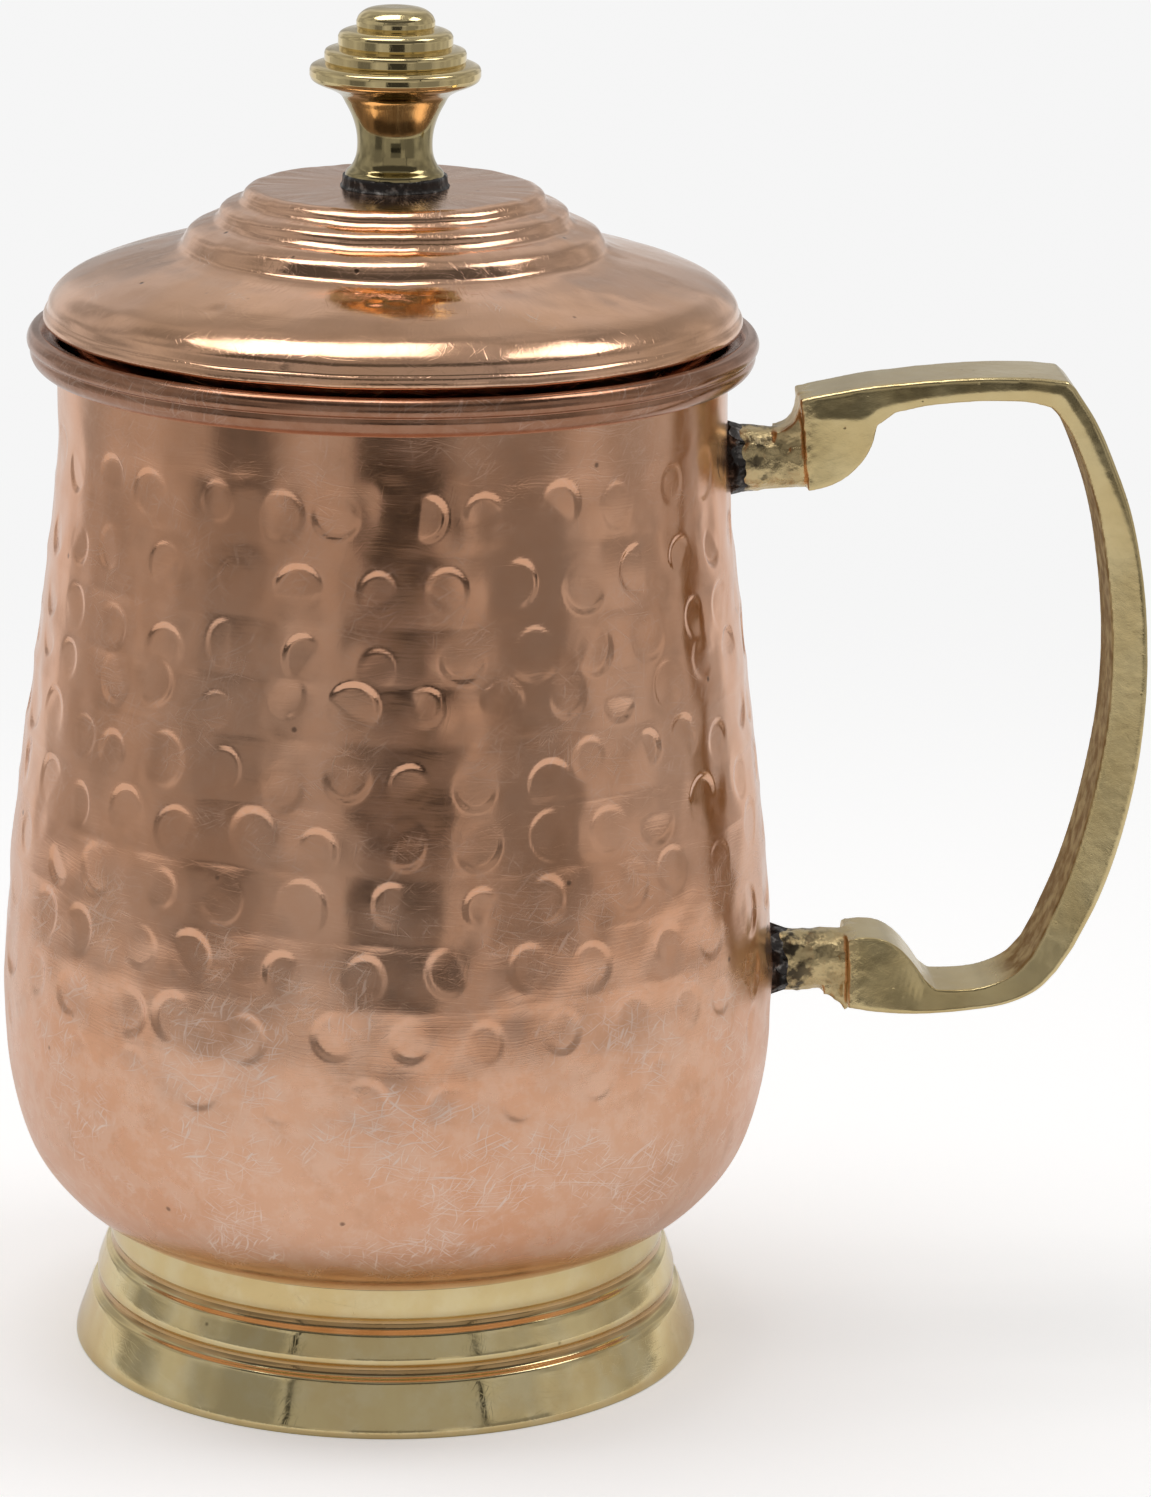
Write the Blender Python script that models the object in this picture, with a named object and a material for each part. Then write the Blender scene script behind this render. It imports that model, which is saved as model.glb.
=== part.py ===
"""Copper water jug with a brass foot, a cast brass handle and a lift-off lid.

The origin is on the table under the middle of the whole jug with its handle, +Z is up
and the handle is on +X. The turned pieces share one upright axis, JUG_AXIS_X from the
origin. Dimensions are millimetres from that axis and become metres in the meshes.
"""

import math

import bmesh
import bpy
from mathutils import Vector

MM = 0.001
ROUND_STEPS = 40          # facets round the large turned pieces
SMALL_STEPS = 24          # facets round the knob
STUB_STEPS = 16           # facets round stubs, roves and solder rings
FIT = 0.3                 # clearance left between neighbouring pieces
SMOOTH_ANGLE = 35         # edges sharper than this stay sharp when shaded, degrees
ON_AXIS = 1e-6            # a radius below this lies on the axis
MERGE_GAP = 1e-7          # metres, closes the seam of a spun mesh

BELLY_RADIUS = 57.0
HANDLE_REACH = 111.0      # from the jug's axis to the outside of the grip
JUG_AXIS_X = (BELLY_RADIUS - HANDLE_REACH) / 2

# Jug body: one raised copper sheet, outer face from the floor up to the neck.
BODY_SHEET = 0.9
FLOOR_Z = 20.3
FLOOR_RADIUS = 38.5
NECK_RADIUS = 48.55
NECK_TOP_Z = 149.0
BODY_STATIONS = [
    (FLOOR_RADIUS, FLOOR_Z),
    (41.8, 21.0),
    (45.0, 22.6),
    (49.0, 26.0),
    (53.0, 31.5),
    (55.9, 41.0),
    (BELLY_RADIUS, 53.6),
    (56.1, 72.0),
    (53.9, 91.5),
    (51.3, 112.0),
    (49.4, 128.0),
    (48.7, 136.0),
    (NECK_RADIUS, 144.0),
]
BODY_SPANS = [2] * 6 + [1] * 6   # curve points per span: the bowl bends more than the wall

# Rolled lip: the sheet flares out of the neck, over the crest and back under.
LIP_FLARE = [(48.15, 151.4), (49.4, 153.0), (51.2, 153.75)]
LIP_UPPER_BAND = [(52.3, 153.4), (52.85, 152.4), (52.75, 151.5)]
LIP_CREASE = (52.3, 151.0)
LIP_LOWER_BEAD = [(52.4, 150.2), (51.9, 149.0), (50.9, 148.2)]
LIP_TIP = (49.05, 147.95)
INSIDE_ROLL = [(49.05, 148.8), (50.5, 149.05), (51.35, 149.75), (51.5, 151.0), (51.95, 151.7),
               (51.9, 152.4), (51.1, 152.85), (49.95, 152.3), (49.05, 151.1)]
RIM_WIRE_RADIUS = 0.75
RIM_WIRE_CENTRE = (50.65, 150.75)

# Foot: spun brass ring in three tiers with a cove between them, hollow underneath.
FOOT_TOP_Z = 20.5
FOOT_TOP_RADIUS = 41.4
FOOT_BASE_RADIUS = 46.4
FOOT_LOW_TIER = [(FOOT_BASE_RADIUS, 0.0), (46.65, 0.5), (46.5, 1.2), (45.5, 4.4), (44.5, 7.2)]
FOOT_LOW_COVE = [(44.2, 7.8), (43.3, 8.5), (42.9, 9.6), (43.3, 10.1)]
FOOT_MIDDLE_TIER = [(43.35, 10.7), (42.4, 13.6)]
FOOT_HIGH_COVE = [(42.1, 14.1), (41.35, 14.9), (41.0, 16.0), (41.4, 16.6)]
FOOT_HIGH_TIER = [(41.5, 17.2), (FOOT_TOP_RADIUS, FOOT_TOP_Z)]
FOOT_INNER_TOP = 39.8
FOOT_INSIDE = [(FOOT_INNER_TOP, FOOT_TOP_Z - 0.5), (FOOT_INNER_TOP, 15.0), (41.3, 8.0),
               (42.9, 0.8), (43.5, 0.0)]
FOOT_WELD = 2.4           # leg of the solder fillet inside the foot

# Handle casting in the X-Z plane. Each station holds the outer point, the inner
# point and the share of the way across at which the bevelled inner side starts.
HANDLE_TOP_BAR = [
    ((73.0, 146.5), (72.8, 142.2), 0.42),
    ((77.8, 147.0), (77.8, 143.3), 0.54),
    ((85.4, 147.5), (85.4, 144.0), 0.54),
    ((93.0, 147.5), (92.0, 143.9), 0.52),
    ((97.6, 147.1), (95.3, 143.2), 0.50),
]
HANDLE_GRIP = [
    ((98.8, 146.0), (96.2, 142.3), 0.50),
    ((102.2, 140.8), (98.5, 139.0), 0.50),
    ((105.3, 133.9), (101.3, 132.3), 0.40),
    ((107.6, 127.7), (103.1, 126.3), 0.26),
    ((109.2, 121.2), (104.3, 120.0), 0.12),
    ((110.4, 113.6), (105.3, 112.7), 0.12),
    ((HANDLE_REACH, 104.5), (105.8, 104.5), 0.12),
    ((110.85, 96.0), (105.5, 96.4), 0.12),
    ((109.9, 87.0), (104.4, 88.0), 0.12),
    ((108.0, 77.8), (102.6, 79.2), 0.12),
    ((105.2, 68.9), (100.2, 70.9), 0.12),
    ((101.6, 61.2), (97.0, 62.9), 0.12),
]
HANDLE_BOTTOM_BAR = [
    ((99.2, 57.5), (95.3, 59.6), 0.12),
    ((96.4, 54.6), (92.9, 57.0), 0.12),
    ((92.0, 52.5), (89.4, 55.3), 0.12),
    ((85.0, 51.35), (84.8, 54.6), 0.12),
    ((80.4, 51.0), (81.4, 54.6), 0.10),
]
LOWER_LOBE = [
    ((78.4, 50.95), (79.8, 55.9), 0.08),
    ((75.8, 51.0), (77.9, 58.6), 0.07),
    ((73.4, 51.2), (75.6, 61.0), 0.06),
    ((71.4, 51.4), (73.2, 62.3), 0.06),
    ((69.8, 51.7), (70.5, 62.6), 0.06),
    ((68.2, 52.0), (68.0, 62.3), 0.06),
]
UPPER_LOBE_CENTRE = (59.3, 141.0)
UPPER_LOBE_RADIUS = 10.9
UPPER_LOBE_TOP = [(58.9, 144.0), (61.4, 144.6), (64.1, 145.1), (67.0, 145.7), (70.1, 146.2)]
UPPER_LOBE_CREASE_Z = 142.1
UPPER_LOBE_ARC = (-84, -4)    # degrees, the part of the circle the lobe's edge follows
UPPER_LOBE_SHARE = 0.42       # the crease never starts deeper than this share
HANDLE_END_DEPTH = 10.6   # width across the strap at the jug end of the top bar
HANDLE_CORNER_DEPTH = 14.2
HANDLE_GRIP_DEPTH = 13.6
GRIP_BLEND = 8            # cross-sections over which the corner narrows to the grip
HANDLE_EDGE = 0.45        # broken edge along the outer side
CREASE_FALL = 0.24        # how fast the inner bevel falls away from the side
CREASE_WIDTH = 5.0        # on wider sections the bevel's fall is limited to this width
UPPER_WEB_CENTRE = (55.4, 142.4)   # ribs joining each lobe to its stub
UPPER_WEB_CORNERS = [(61.0, 142.9), (61.0, 136.0), (55.5, 136.0)]
UPPER_WEB_HALF = 3.4
LOWER_WEB_CENTRE = (64.6, 49.6)
LOWER_WEB_CORNERS = [(71.0, 52.4), (71.0, 57.0), (64.7, 57.0)]
LOWER_WEB_HALF = 3.6
WEB_RADIUS = 3.5
UPPER_STUB_Z = 134.3
LOWER_STUB_Z = 57.8
UPPER_STUB_RADII = (4.9, 4.3)
LOWER_STUB_RADII = (4.6, 4.5)
UPPER_STUB_END = 61.0
LOWER_STUB_END = 70.0
STUB_COLLAR = 2.0         # length of each stub's wide end at the wall
STUB_NECK = 3.5           # length of each stub's narrow end in the strap
TENON_RADIUS = 3.0
HEAD_RADIUS = 4.2
HEAD_THICKNESS = 1.0
HEAD_ROUNDING = 0.45
DRILL_IN = 6.0            # how far the hole's tool reaches inside and outside the wall
DRILL_OUT = 3.0
ROVE_RADIUS = 5.2
ROVE_THICKNESS = 1.0
SOLDER_REACH = 1.5        # leg of the solder fillets round the stubs
SOLDER_BACK = 1.6         # how far a fillet follows the wall as it curves away
SOLDER_LIFT = 0.45        # height of a fillet's rim over the wall
WALL_TOOL_LIFTS = (-14.0, -7.0, 0.0, 7.0, 12.0)

# Lid: copper, a flat top and two rounded steps above a dome with a hemmed edge.
LID_SHEET = 0.8
LID_TOP_Z = 174.1
LID_TOP_EDGE = [(20.0, 174.07), (20.8, 173.85), (21.5, 173.4), (21.8, 172.7)]
LID_FIRST_STEP = [(22.5, 172.0), (23.9, 171.6), (24.9, 171.0), (25.3, 170.1)]
LID_SECOND_STEP = [(26.0, 169.3), (27.6, 168.8), (29.4, 167.9), (30.2, 166.8)]
LID_DOME = [(30.9, 165.7), (32.6, 165.0), (37.0, 163.9), (42.6, 162.2), (47.2, 160.2),
            (49.5, 158.0), (49.95, 156.5)]
LID_FACE = LID_TOP_EDGE + LID_FIRST_STEP + LID_SECOND_STEP + LID_DOME
LID_HEM = [(50.3, 156.1), (50.5, 155.5), (50.5, 155.0), (50.2, 154.45), (49.7, 154.35),
           (48.9, 154.45), (48.6, 155.0), (48.7, 155.9)]
COLLAR_RADIUS = 46.6
COLLAR_SHEET = 0.8
COLLAR_BOTTOM_Z = 148.5
COLLAR_EDGE = 0.2
COLLAR_SEAM = 1.7         # leg of the solder inside the collar

# Knob: turned brass with a tang riveted through the lid.
KNOB_TOP_Z = 200.0
KNOB_BASE_Z = 175.7
KNOB_CROWN = [(2.6, 199.95), (4.3, 199.55), (5.3, 198.75), (5.65, 198.0), (5.65, 197.3)]
KNOB_SECOND_TIER = [(5.7, 196.95), (7.3, 196.65), (8.05, 196.25), (8.25, 195.8), (8.25, 194.6)]
KNOB_THIRD_TIER = [(8.3, 194.25), (9.6, 194.0), (10.1, 193.75), (10.2, 193.4), (10.2, 192.35)]
KNOB_BRIM = [(10.3, 192.0), (11.5, 191.8), (12.15, 191.4), (12.3, 191.0), (12.3, 190.2),
             (12.0, 189.55), (11.2, 189.05), (9.6, 188.4), (7.9, 187.4)]
KNOB_NECK = [(7.1, 186.1), (6.2, 184.3), (5.6, 182.3), (5.42, 180.3), (5.6, 178.6),
             (6.2, 177.2), (7.0, 176.3), (7.15, KNOB_BASE_Z + 0.15)]
KNOB_EDGE = 0.25
KNOB_SEAT_RADIUS = 5.6
KNOB_SOLDER_RADIUS = 7.6
KNOB_SOLDER_HEIGHT = 0.9
TANG_RADIUS = 2.5
TANG_HEAD_RADIUS = 3.7
TANG_HEAD_THICKNESS = 0.9
TANG_HEAD_ROUNDING = 0.3
KNOB_ROVE_RADIUS = 5.5
KNOB_ROVE_THICKNESS = 0.95


def clear_scene():
    """Remove whatever the new file starts with."""
    for obj in list(bpy.data.objects):
        bpy.data.objects.remove(obj, do_unlink=True)


def metal(name, colour, roughness, metallic=1.0):
    """A plain metal material for one sub-part."""
    made = bpy.data.materials.new(name)
    made.use_nodes = True
    shader = made.node_tree.nodes["Principled BSDF"]
    shader.inputs["Base Color"].default_value = (*colour, 1.0)
    shader.inputs["Roughness"].default_value = roughness
    shader.inputs["Metallic"].default_value = metallic
    made.diffuse_color = (*colour, 1.0)
    return made


def smooth_path(stations, per_span=1):
    """Centripetal Catmull-Rom curve through the stations.

    per_span is how many points each span gets: one number, or a list with one per span.
    """
    points = [Vector(p) for p in stations]
    spans = per_span if isinstance(per_span, list) else [per_span] * (len(points) - 1)
    ends = [2 * points[0] - points[1]] + points + [2 * points[-1] - points[-2]]
    path = []
    for i in range(1, len(ends) - 2):
        p0, p1, p2, p3 = ends[i - 1:i + 3]
        d0 = math.sqrt((p1 - p0).length)
        d1 = math.sqrt((p2 - p1).length)
        d2 = math.sqrt((p3 - p2).length)
        out = d1 * ((p1 - p0) / d0 - (p2 - p0) / (d0 + d1) + (p2 - p1) / d1)
        into = d1 * ((p2 - p1) / d1 - (p3 - p1) / (d1 + d2) + (p3 - p2) / d2)
        for step in range(spans[i - 1]):
            t = step / spans[i - 1]
            a = 2 * t ** 3 - 3 * t ** 2 + 1
            b = t ** 3 - 2 * t ** 2 + t
            c = 3 * t ** 2 - 2 * t ** 3
            d = t ** 3 - t ** 2
            path.append(a * p1 + b * out + c * p2 + d * into)
    path.append(points[-1])
    return [tuple(p) for p in path]


def arc(centre, radius, start, end, count):
    """Points on an arc, angles in degrees."""
    points = []
    for i in range(count):
        angle = math.radians(start + (end - start) * i / (count - 1))
        points.append((centre[0] + radius * math.cos(angle),
                       centre[1] + radius * math.sin(angle)))
    return points


def offset_path(path, distance):
    """The path moved sideways; a positive distance moves it to its left."""
    moved = []
    for i, point in enumerate(path):
        before = Vector(path[max(i - 1, 0)])
        after = Vector(path[min(i + 1, len(path) - 1)])
        along = (after - before).normalized()
        moved.append((point[0] - along.y * distance, point[1] + along.x * distance))
    return moved


def finish(mesh_data, name, material, parent=None):
    """Turn a bmesh into a named, smooth-shaded object."""
    bmesh.ops.recalc_face_normals(mesh_data, faces=mesh_data.faces)
    if mesh_data.calc_volume(signed=True) < 0:
        bmesh.ops.reverse_faces(mesh_data, faces=mesh_data.faces)
    mesh = bpy.data.meshes.new(name)
    mesh_data.to_mesh(mesh)
    mesh_data.free()
    mesh.materials.append(material)
    for polygon in mesh.polygons:
        polygon.use_smooth = True
    mesh.set_sharp_from_angle(angle=math.radians(SMOOTH_ANGLE))
    made = bpy.data.objects.new(name, mesh)
    bpy.context.collection.objects.link(made)
    made.parent = parent
    return made


def spin_section(section, steps, axis="Z"):
    """Spin a closed (radius, height) outline into a solid about Z or X."""
    mesh = bmesh.new()
    ring = []
    for radius, height in section:
        if axis == "Z":
            ring.append(mesh.verts.new((radius * MM, 0.0, height * MM)))
        else:
            ring.append(mesh.verts.new((height * MM, 0.0, radius * MM)))
    edges = []
    for i, vert in enumerate(ring):
        other = ring[(i + 1) % len(ring)]
        on_axis = max(section[i][0], section[(i + 1) % len(ring)][0]) < ON_AXIS
        if not on_axis:
            edges.append(mesh.edges.new((vert, other)))
    line = Vector((0, 0, 1)) if axis == "Z" else Vector((1, 0, 0))
    bmesh.ops.spin(mesh, geom=ring + edges, cent=(0, 0, 0), axis=line,
                   angle=2 * math.pi, steps=steps, use_merge=True)
    bmesh.ops.remove_doubles(mesh, verts=mesh.verts, dist=MERGE_GAP)
    return mesh


def turned(name, section, steps, material, parent=None):
    """A piece turned about the jug's own axis."""
    return finish(spin_section(section, steps), name, material, parent)


def across(name, section, steps, material, height, parent=None):
    """A piece turned about a level line along +X at the given height."""
    mesh = spin_section(section, steps, "X")
    bmesh.ops.translate(mesh, verts=mesh.verts, vec=(0, 0, height * MM))
    return finish(mesh, name, material, parent)


def modifier_boolean(target, cutter, operation):
    """Join or cut exactly and hide the tool."""
    made = target.modifiers.new(operation.title() + "_" + cutter.name, "BOOLEAN")
    made.operation = operation
    made.solver = "EXACT"
    made.object = cutter
    cutter.hide_render = True
    cutter.display_type = "WIRE"


def apply_modifiers(target):
    """Fix the evaluated shape and drop the tools it used."""
    tools = [m.object for m in target.modifiers if m.type == "BOOLEAN"]
    depsgraph = bpy.context.evaluated_depsgraph_get()
    made = bpy.data.meshes.new_from_object(target.evaluated_get(depsgraph))
    target.modifiers.clear()
    target.data = made
    for tool in tools:
        bpy.data.objects.remove(tool, do_unlink=True)


def body_outer():
    """Outer face of the sheet from the floor's edge to the top of the neck."""
    return smooth_path(BODY_STATIONS, BODY_SPANS) + [(NECK_RADIUS, NECK_TOP_Z)]


def body_radius(height):
    """Outer radius of the body at a height above the foot."""
    path = body_outer()
    for low, high in zip(path[:-1], path[1:]):
        if low[1] <= height <= high[1]:
            share = (height - low[1]) / (high[1] - low[1])
            return low[0] + share * (high[0] - low[0])
    return path[-1][0]


def body_section():
    """Closed outline of the sheet: inside, over the lip, back down outside."""
    outer = [(0.0, FLOOR_Z)] + body_outer()
    inner = offset_path(outer, BODY_SHEET)
    inner[0] = (0.0, FLOOR_Z + BODY_SHEET)
    lip_start = (NECK_RADIUS - BODY_SHEET, NECK_TOP_Z)
    lip = [lip_start] + LIP_FLARE + LIP_UPPER_BAND + [LIP_CREASE] + LIP_LOWER_BEAD + [LIP_TIP]
    return inner[:-1] + lip + INSIDE_ROLL + outer[::-1]


def lid_section():
    """Closed outline of the lid sheet with its hem and the tang's hole."""
    hole = TANG_RADIUS + FIT
    face = [(hole, LID_TOP_Z)] + LID_FACE
    under = offset_path(face, -LID_SHEET)
    under[0] = (hole, LID_TOP_Z - LID_SHEET)
    return face + LID_HEM + under[::-1]


def lid_under_z(radius):
    """Height of the lid's underside at a radius."""
    path = offset_path([(0.0, LID_TOP_Z)] + LID_FACE, -LID_SHEET)
    for near, far in zip(path[:-1], path[1:]):
        if near[0] <= radius <= far[0]:
            share = (radius - near[0]) / (far[0] - near[0])
            return near[1] + share * (far[1] - near[1])
    return path[-1][1]


def knob_section():
    """Closed outline of the knob with its tang and peened head."""
    face = KNOB_CROWN + KNOB_SECOND_TIER + KNOB_THIRD_TIER + KNOB_BRIM + KNOB_NECK
    head_top = LID_TOP_Z - LID_SHEET - KNOB_ROVE_THICKNESS - 2 * FIT
    head_low = head_top - TANG_HEAD_THICKNESS
    tang = [(KNOB_NECK[-1][0] - KNOB_EDGE, KNOB_BASE_Z), (KNOB_SEAT_RADIUS, KNOB_BASE_Z - 0.1),
            (KNOB_SEAT_RADIUS, LID_TOP_Z + FIT), (TANG_RADIUS, LID_TOP_Z + FIT),
            (TANG_RADIUS, head_top), (TANG_HEAD_RADIUS, head_top),
            (TANG_HEAD_RADIUS, head_low + TANG_HEAD_ROUNDING),
            (TANG_HEAD_RADIUS - TANG_HEAD_ROUNDING, head_low), (0.0, head_low)]
    return [(0.0, KNOB_TOP_Z)] + face + tang


def handle_stations():
    """Outer and inner points, crease share and half depth for every station."""
    lobe_inner = arc(UPPER_LOBE_CENTRE, UPPER_LOBE_RADIUS, *UPPER_LOBE_ARC,
                     len(UPPER_LOBE_TOP))
    stations = []
    for i, (top, low) in enumerate(zip(UPPER_LOBE_TOP, lobe_inner)):
        share = (top[1] - UPPER_LOBE_CREASE_Z) / (top[1] - low[1])
        stations.append((top, low, min(share, UPPER_LOBE_SHARE)))
    runs = [(stations, 1), (HANDLE_TOP_BAR, 2), (HANDLE_GRIP, 2),
            (HANDLE_BOTTOM_BAR, 2), (LOWER_LOBE, 1)]
    strap = []
    for stations, per_span in runs:
        outer = smooth_path([s[0] for s in stations], per_span)
        inner = smooth_path([s[1] for s in stations], per_span)
        shares = smooth_path([(i, s[2]) for i, s in enumerate(stations)], per_span)
        for out, into, share in zip(outer, inner, shares):
            strap.append((out, into, share[1]))
    corner = len(UPPER_LOBE_TOP) + 2 * len(HANDLE_TOP_BAR) - 1
    result = []
    for i, (out, into, share) in enumerate(strap):
        if i < corner:
            depth = HANDLE_END_DEPTH + (HANDLE_CORNER_DEPTH - HANDLE_END_DEPTH) * i / corner
        else:
            after = min((i - corner) / GRIP_BLEND, 1.0)
            depth = HANDLE_CORNER_DEPTH + (HANDLE_GRIP_DEPTH - HANDLE_CORNER_DEPTH) * after
        result.append((out, into, share, depth / 2))
    return result


def handle_loop(outer, inner, share, half):
    """Corners of one cross-section of the strap, front side first."""
    across_strap = Vector(inner) - Vector(outer)
    width = across_strap.length
    step = across_strap / width
    edge = Vector(outer) + step * HANDLE_EDGE
    crease_at = max(share * width, 1.2 * HANDLE_EDGE)
    crease = Vector(outer) + step * crease_at
    fall = CREASE_FALL * (width - crease_at) * min(1.0, CREASE_WIDTH / width)
    front = [(Vector(outer), half - HANDLE_EDGE), (edge, half), (crease, half),
             (Vector(inner), half - fall)]
    loop = [(p.x * MM, -depth * MM, p.y * MM) for p, depth in front]
    loop += [(p.x * MM, depth * MM, p.y * MM) for p, depth in reversed(front)]
    return loop


def strap_mesh():
    """The strap with both lobes, lofted through its cross-sections."""
    mesh = bmesh.new()
    loops = []
    for station in handle_stations():
        loops.append([mesh.verts.new(point) for point in handle_loop(*station)])
    for first, second in zip(loops[:-1], loops[1:]):
        for i in range(len(first)):
            j = (i + 1) % len(first)
            mesh.faces.new((first[i], first[j], second[j], second[i]))
    mesh.faces.new(loops[0])
    mesh.faces.new(loops[-1])
    return mesh


def web_mesh(outline, half_depth):
    """A flat web of the casting, extruded across the strap."""
    mesh = bmesh.new()
    base = mesh.faces.new([mesh.verts.new((x * MM, -half_depth * MM, z * MM))
                           for x, z in outline])
    grown = bmesh.ops.extrude_face_region(mesh, geom=[base])
    moved = [item for item in grown["geom"] if isinstance(item, bmesh.types.BMVert)]
    bmesh.ops.translate(mesh, verts=moved, vec=(0, 2 * half_depth * MM, 0))
    return mesh


def stub_section(wall_outer, rove_face, radii, end):
    """Outline of a stub, its tenon through the wall and its peened head."""
    shoulder = wall_outer + FIT
    head_face = rove_face - ROVE_THICKNESS - FIT
    head_end = head_face - HEAD_THICKNESS
    return [
        (0.0, head_end),
        (HEAD_RADIUS - HEAD_ROUNDING, head_end),
        (HEAD_RADIUS, head_end + HEAD_ROUNDING),
        (HEAD_RADIUS, head_face),
        (TENON_RADIUS, head_face),
        (TENON_RADIUS, shoulder),
        (radii[0], shoulder),
        (radii[0], shoulder + STUB_COLLAR),
        (radii[1], end - STUB_NECK),
        (radii[1], end),
        (0.0, end),
    ]


def inner_wall_reach(wall_outer, reach):
    """Where the inside of the round wall lies at a sideways reach from +X."""
    inner = wall_outer - BODY_SHEET
    return math.sqrt(inner * inner - reach * reach)


def fastener_places():
    """Stub heights with the wall position and the rove's outer face."""
    places = {}
    for key, height in (("upper", UPPER_STUB_Z), ("lower", LOWER_STUB_Z)):
        reach = UPPER_STUB_RADII[0]
        highest = max(body_radius(height - reach), body_radius(height + reach))
        lowest = min(body_radius(height - ROVE_RADIUS), body_radius(height + ROVE_RADIUS))
        rove_face = inner_wall_reach(lowest, ROVE_RADIUS) - FIT
        places[key] = (height, highest, rove_face)
    return places


def build_body(jug, copper):
    """Raised copper sheet with two holes for the handle's tenons."""
    shell = turned("body_shell", body_section(), ROUND_STEPS, copper, jug)
    for key, (height, wall, _) in fastener_places().items():
        bore = TENON_RADIUS + FIT
        hole = [(0.0, wall - DRILL_IN), (bore, wall - DRILL_IN),
                (bore, wall + DRILL_OUT), (0.0, wall + DRILL_OUT)]
        drill = across("drill_" + key, hole, STUB_STEPS, copper, height)
        modifier_boolean(shell, drill, "DIFFERENCE")
    apply_modifiers(shell)
    return shell


def build_handle(jug, brass):
    """One casting: strap, lobes, stubs, webs and tenons."""
    handle = finish(strap_mesh(), "handle_casting", brass, jug)
    places = fastener_places()
    for key, radii, end in (("upper", UPPER_STUB_RADII, UPPER_STUB_END),
                            ("lower", LOWER_STUB_RADII, LOWER_STUB_END)):
        height, wall, rove_face = places[key]
        section = stub_section(wall, rove_face, radii, end)
        stub = across("stub_" + key, section, STUB_STEPS, brass, height)
        modifier_boolean(handle, stub, "UNION")
    top_web = arc(UPPER_WEB_CENTRE, WEB_RADIUS, -88, 0, 6) + UPPER_WEB_CORNERS
    low_web = arc(LOWER_WEB_CENTRE, WEB_RADIUS, 88, 18, 6) + LOWER_WEB_CORNERS
    for key, outline, half in (("top", top_web, UPPER_WEB_HALF), ("low", low_web, LOWER_WEB_HALF)):
        web = finish(web_mesh(outline, half), "web_" + key, brass)
        modifier_boolean(handle, web, "UNION")
    apply_modifiers(handle)
    return handle


def build_fasteners(jug, brass, solder):
    """Roves inside the wall and solder fillets outside it."""
    for key, (height, wall, rove_face) in fastener_places().items():
        bore = TENON_RADIUS + FIT
        rove = [(bore, rove_face - ROVE_THICKNESS), (ROVE_RADIUS, rove_face - ROVE_THICKNESS),
                (ROVE_RADIUS, rove_face), (bore, rove_face)]
        across("handle_rove_" + key, rove, STUB_STEPS, brass, height, jug)
        radius = (UPPER_STUB_RADII if key == "upper" else LOWER_STUB_RADII)[0] + FIT
        start = wall - SOLDER_BACK
        rim = wall + SOLDER_LIFT
        fillet = [(radius, start), (radius + SOLDER_REACH, start), (radius + SOLDER_REACH, rim),
                  (radius + SOLDER_REACH / 3, rim + SOLDER_REACH * 0.4),
                  (radius, rim + SOLDER_REACH * 0.75)]
        ring = across("handle_solder_" + key, fillet, STUB_STEPS, solder, height, jug)
        clear = [(0.0, height + WALL_TOOL_LIFTS[0])]
        for lift in WALL_TOOL_LIFTS:
            clear.append((body_radius(height + lift) + FIT, height + lift))
        clear.append((0.0, height + WALL_TOOL_LIFTS[-1]))
        wall_tool = turned("wall_" + key, clear, 2 * ROUND_STEPS, solder)
        modifier_boolean(ring, wall_tool, "DIFFERENCE")
        apply_modifiers(ring)


def build_foot(jug, brass, solder, wire):
    """Foot ring with its hidden solder, and the wire inside the rolled lip."""
    section = (FOOT_LOW_TIER + FOOT_LOW_COVE + FOOT_MIDDLE_TIER + FOOT_HIGH_COVE + FOOT_HIGH_TIER
               + FOOT_INSIDE)
    turned("foot_ring", section, ROUND_STEPS, brass, jug)
    corner = FOOT_INNER_TOP - FIT
    ceiling = FLOOR_Z - FIT
    seam = [(corner, ceiling), (corner - FOOT_WELD, ceiling),
            (corner - 0.8, ceiling - FOOT_WELD * 0.55), (corner, ceiling - FOOT_WELD)]
    turned("foot_solder", seam, ROUND_STEPS, solder, jug)
    ring = arc(RIM_WIRE_CENTRE, RIM_WIRE_RADIUS, 0, 300, 6)
    turned("rim_wire", ring, ROUND_STEPS, wire, jug)


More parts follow.
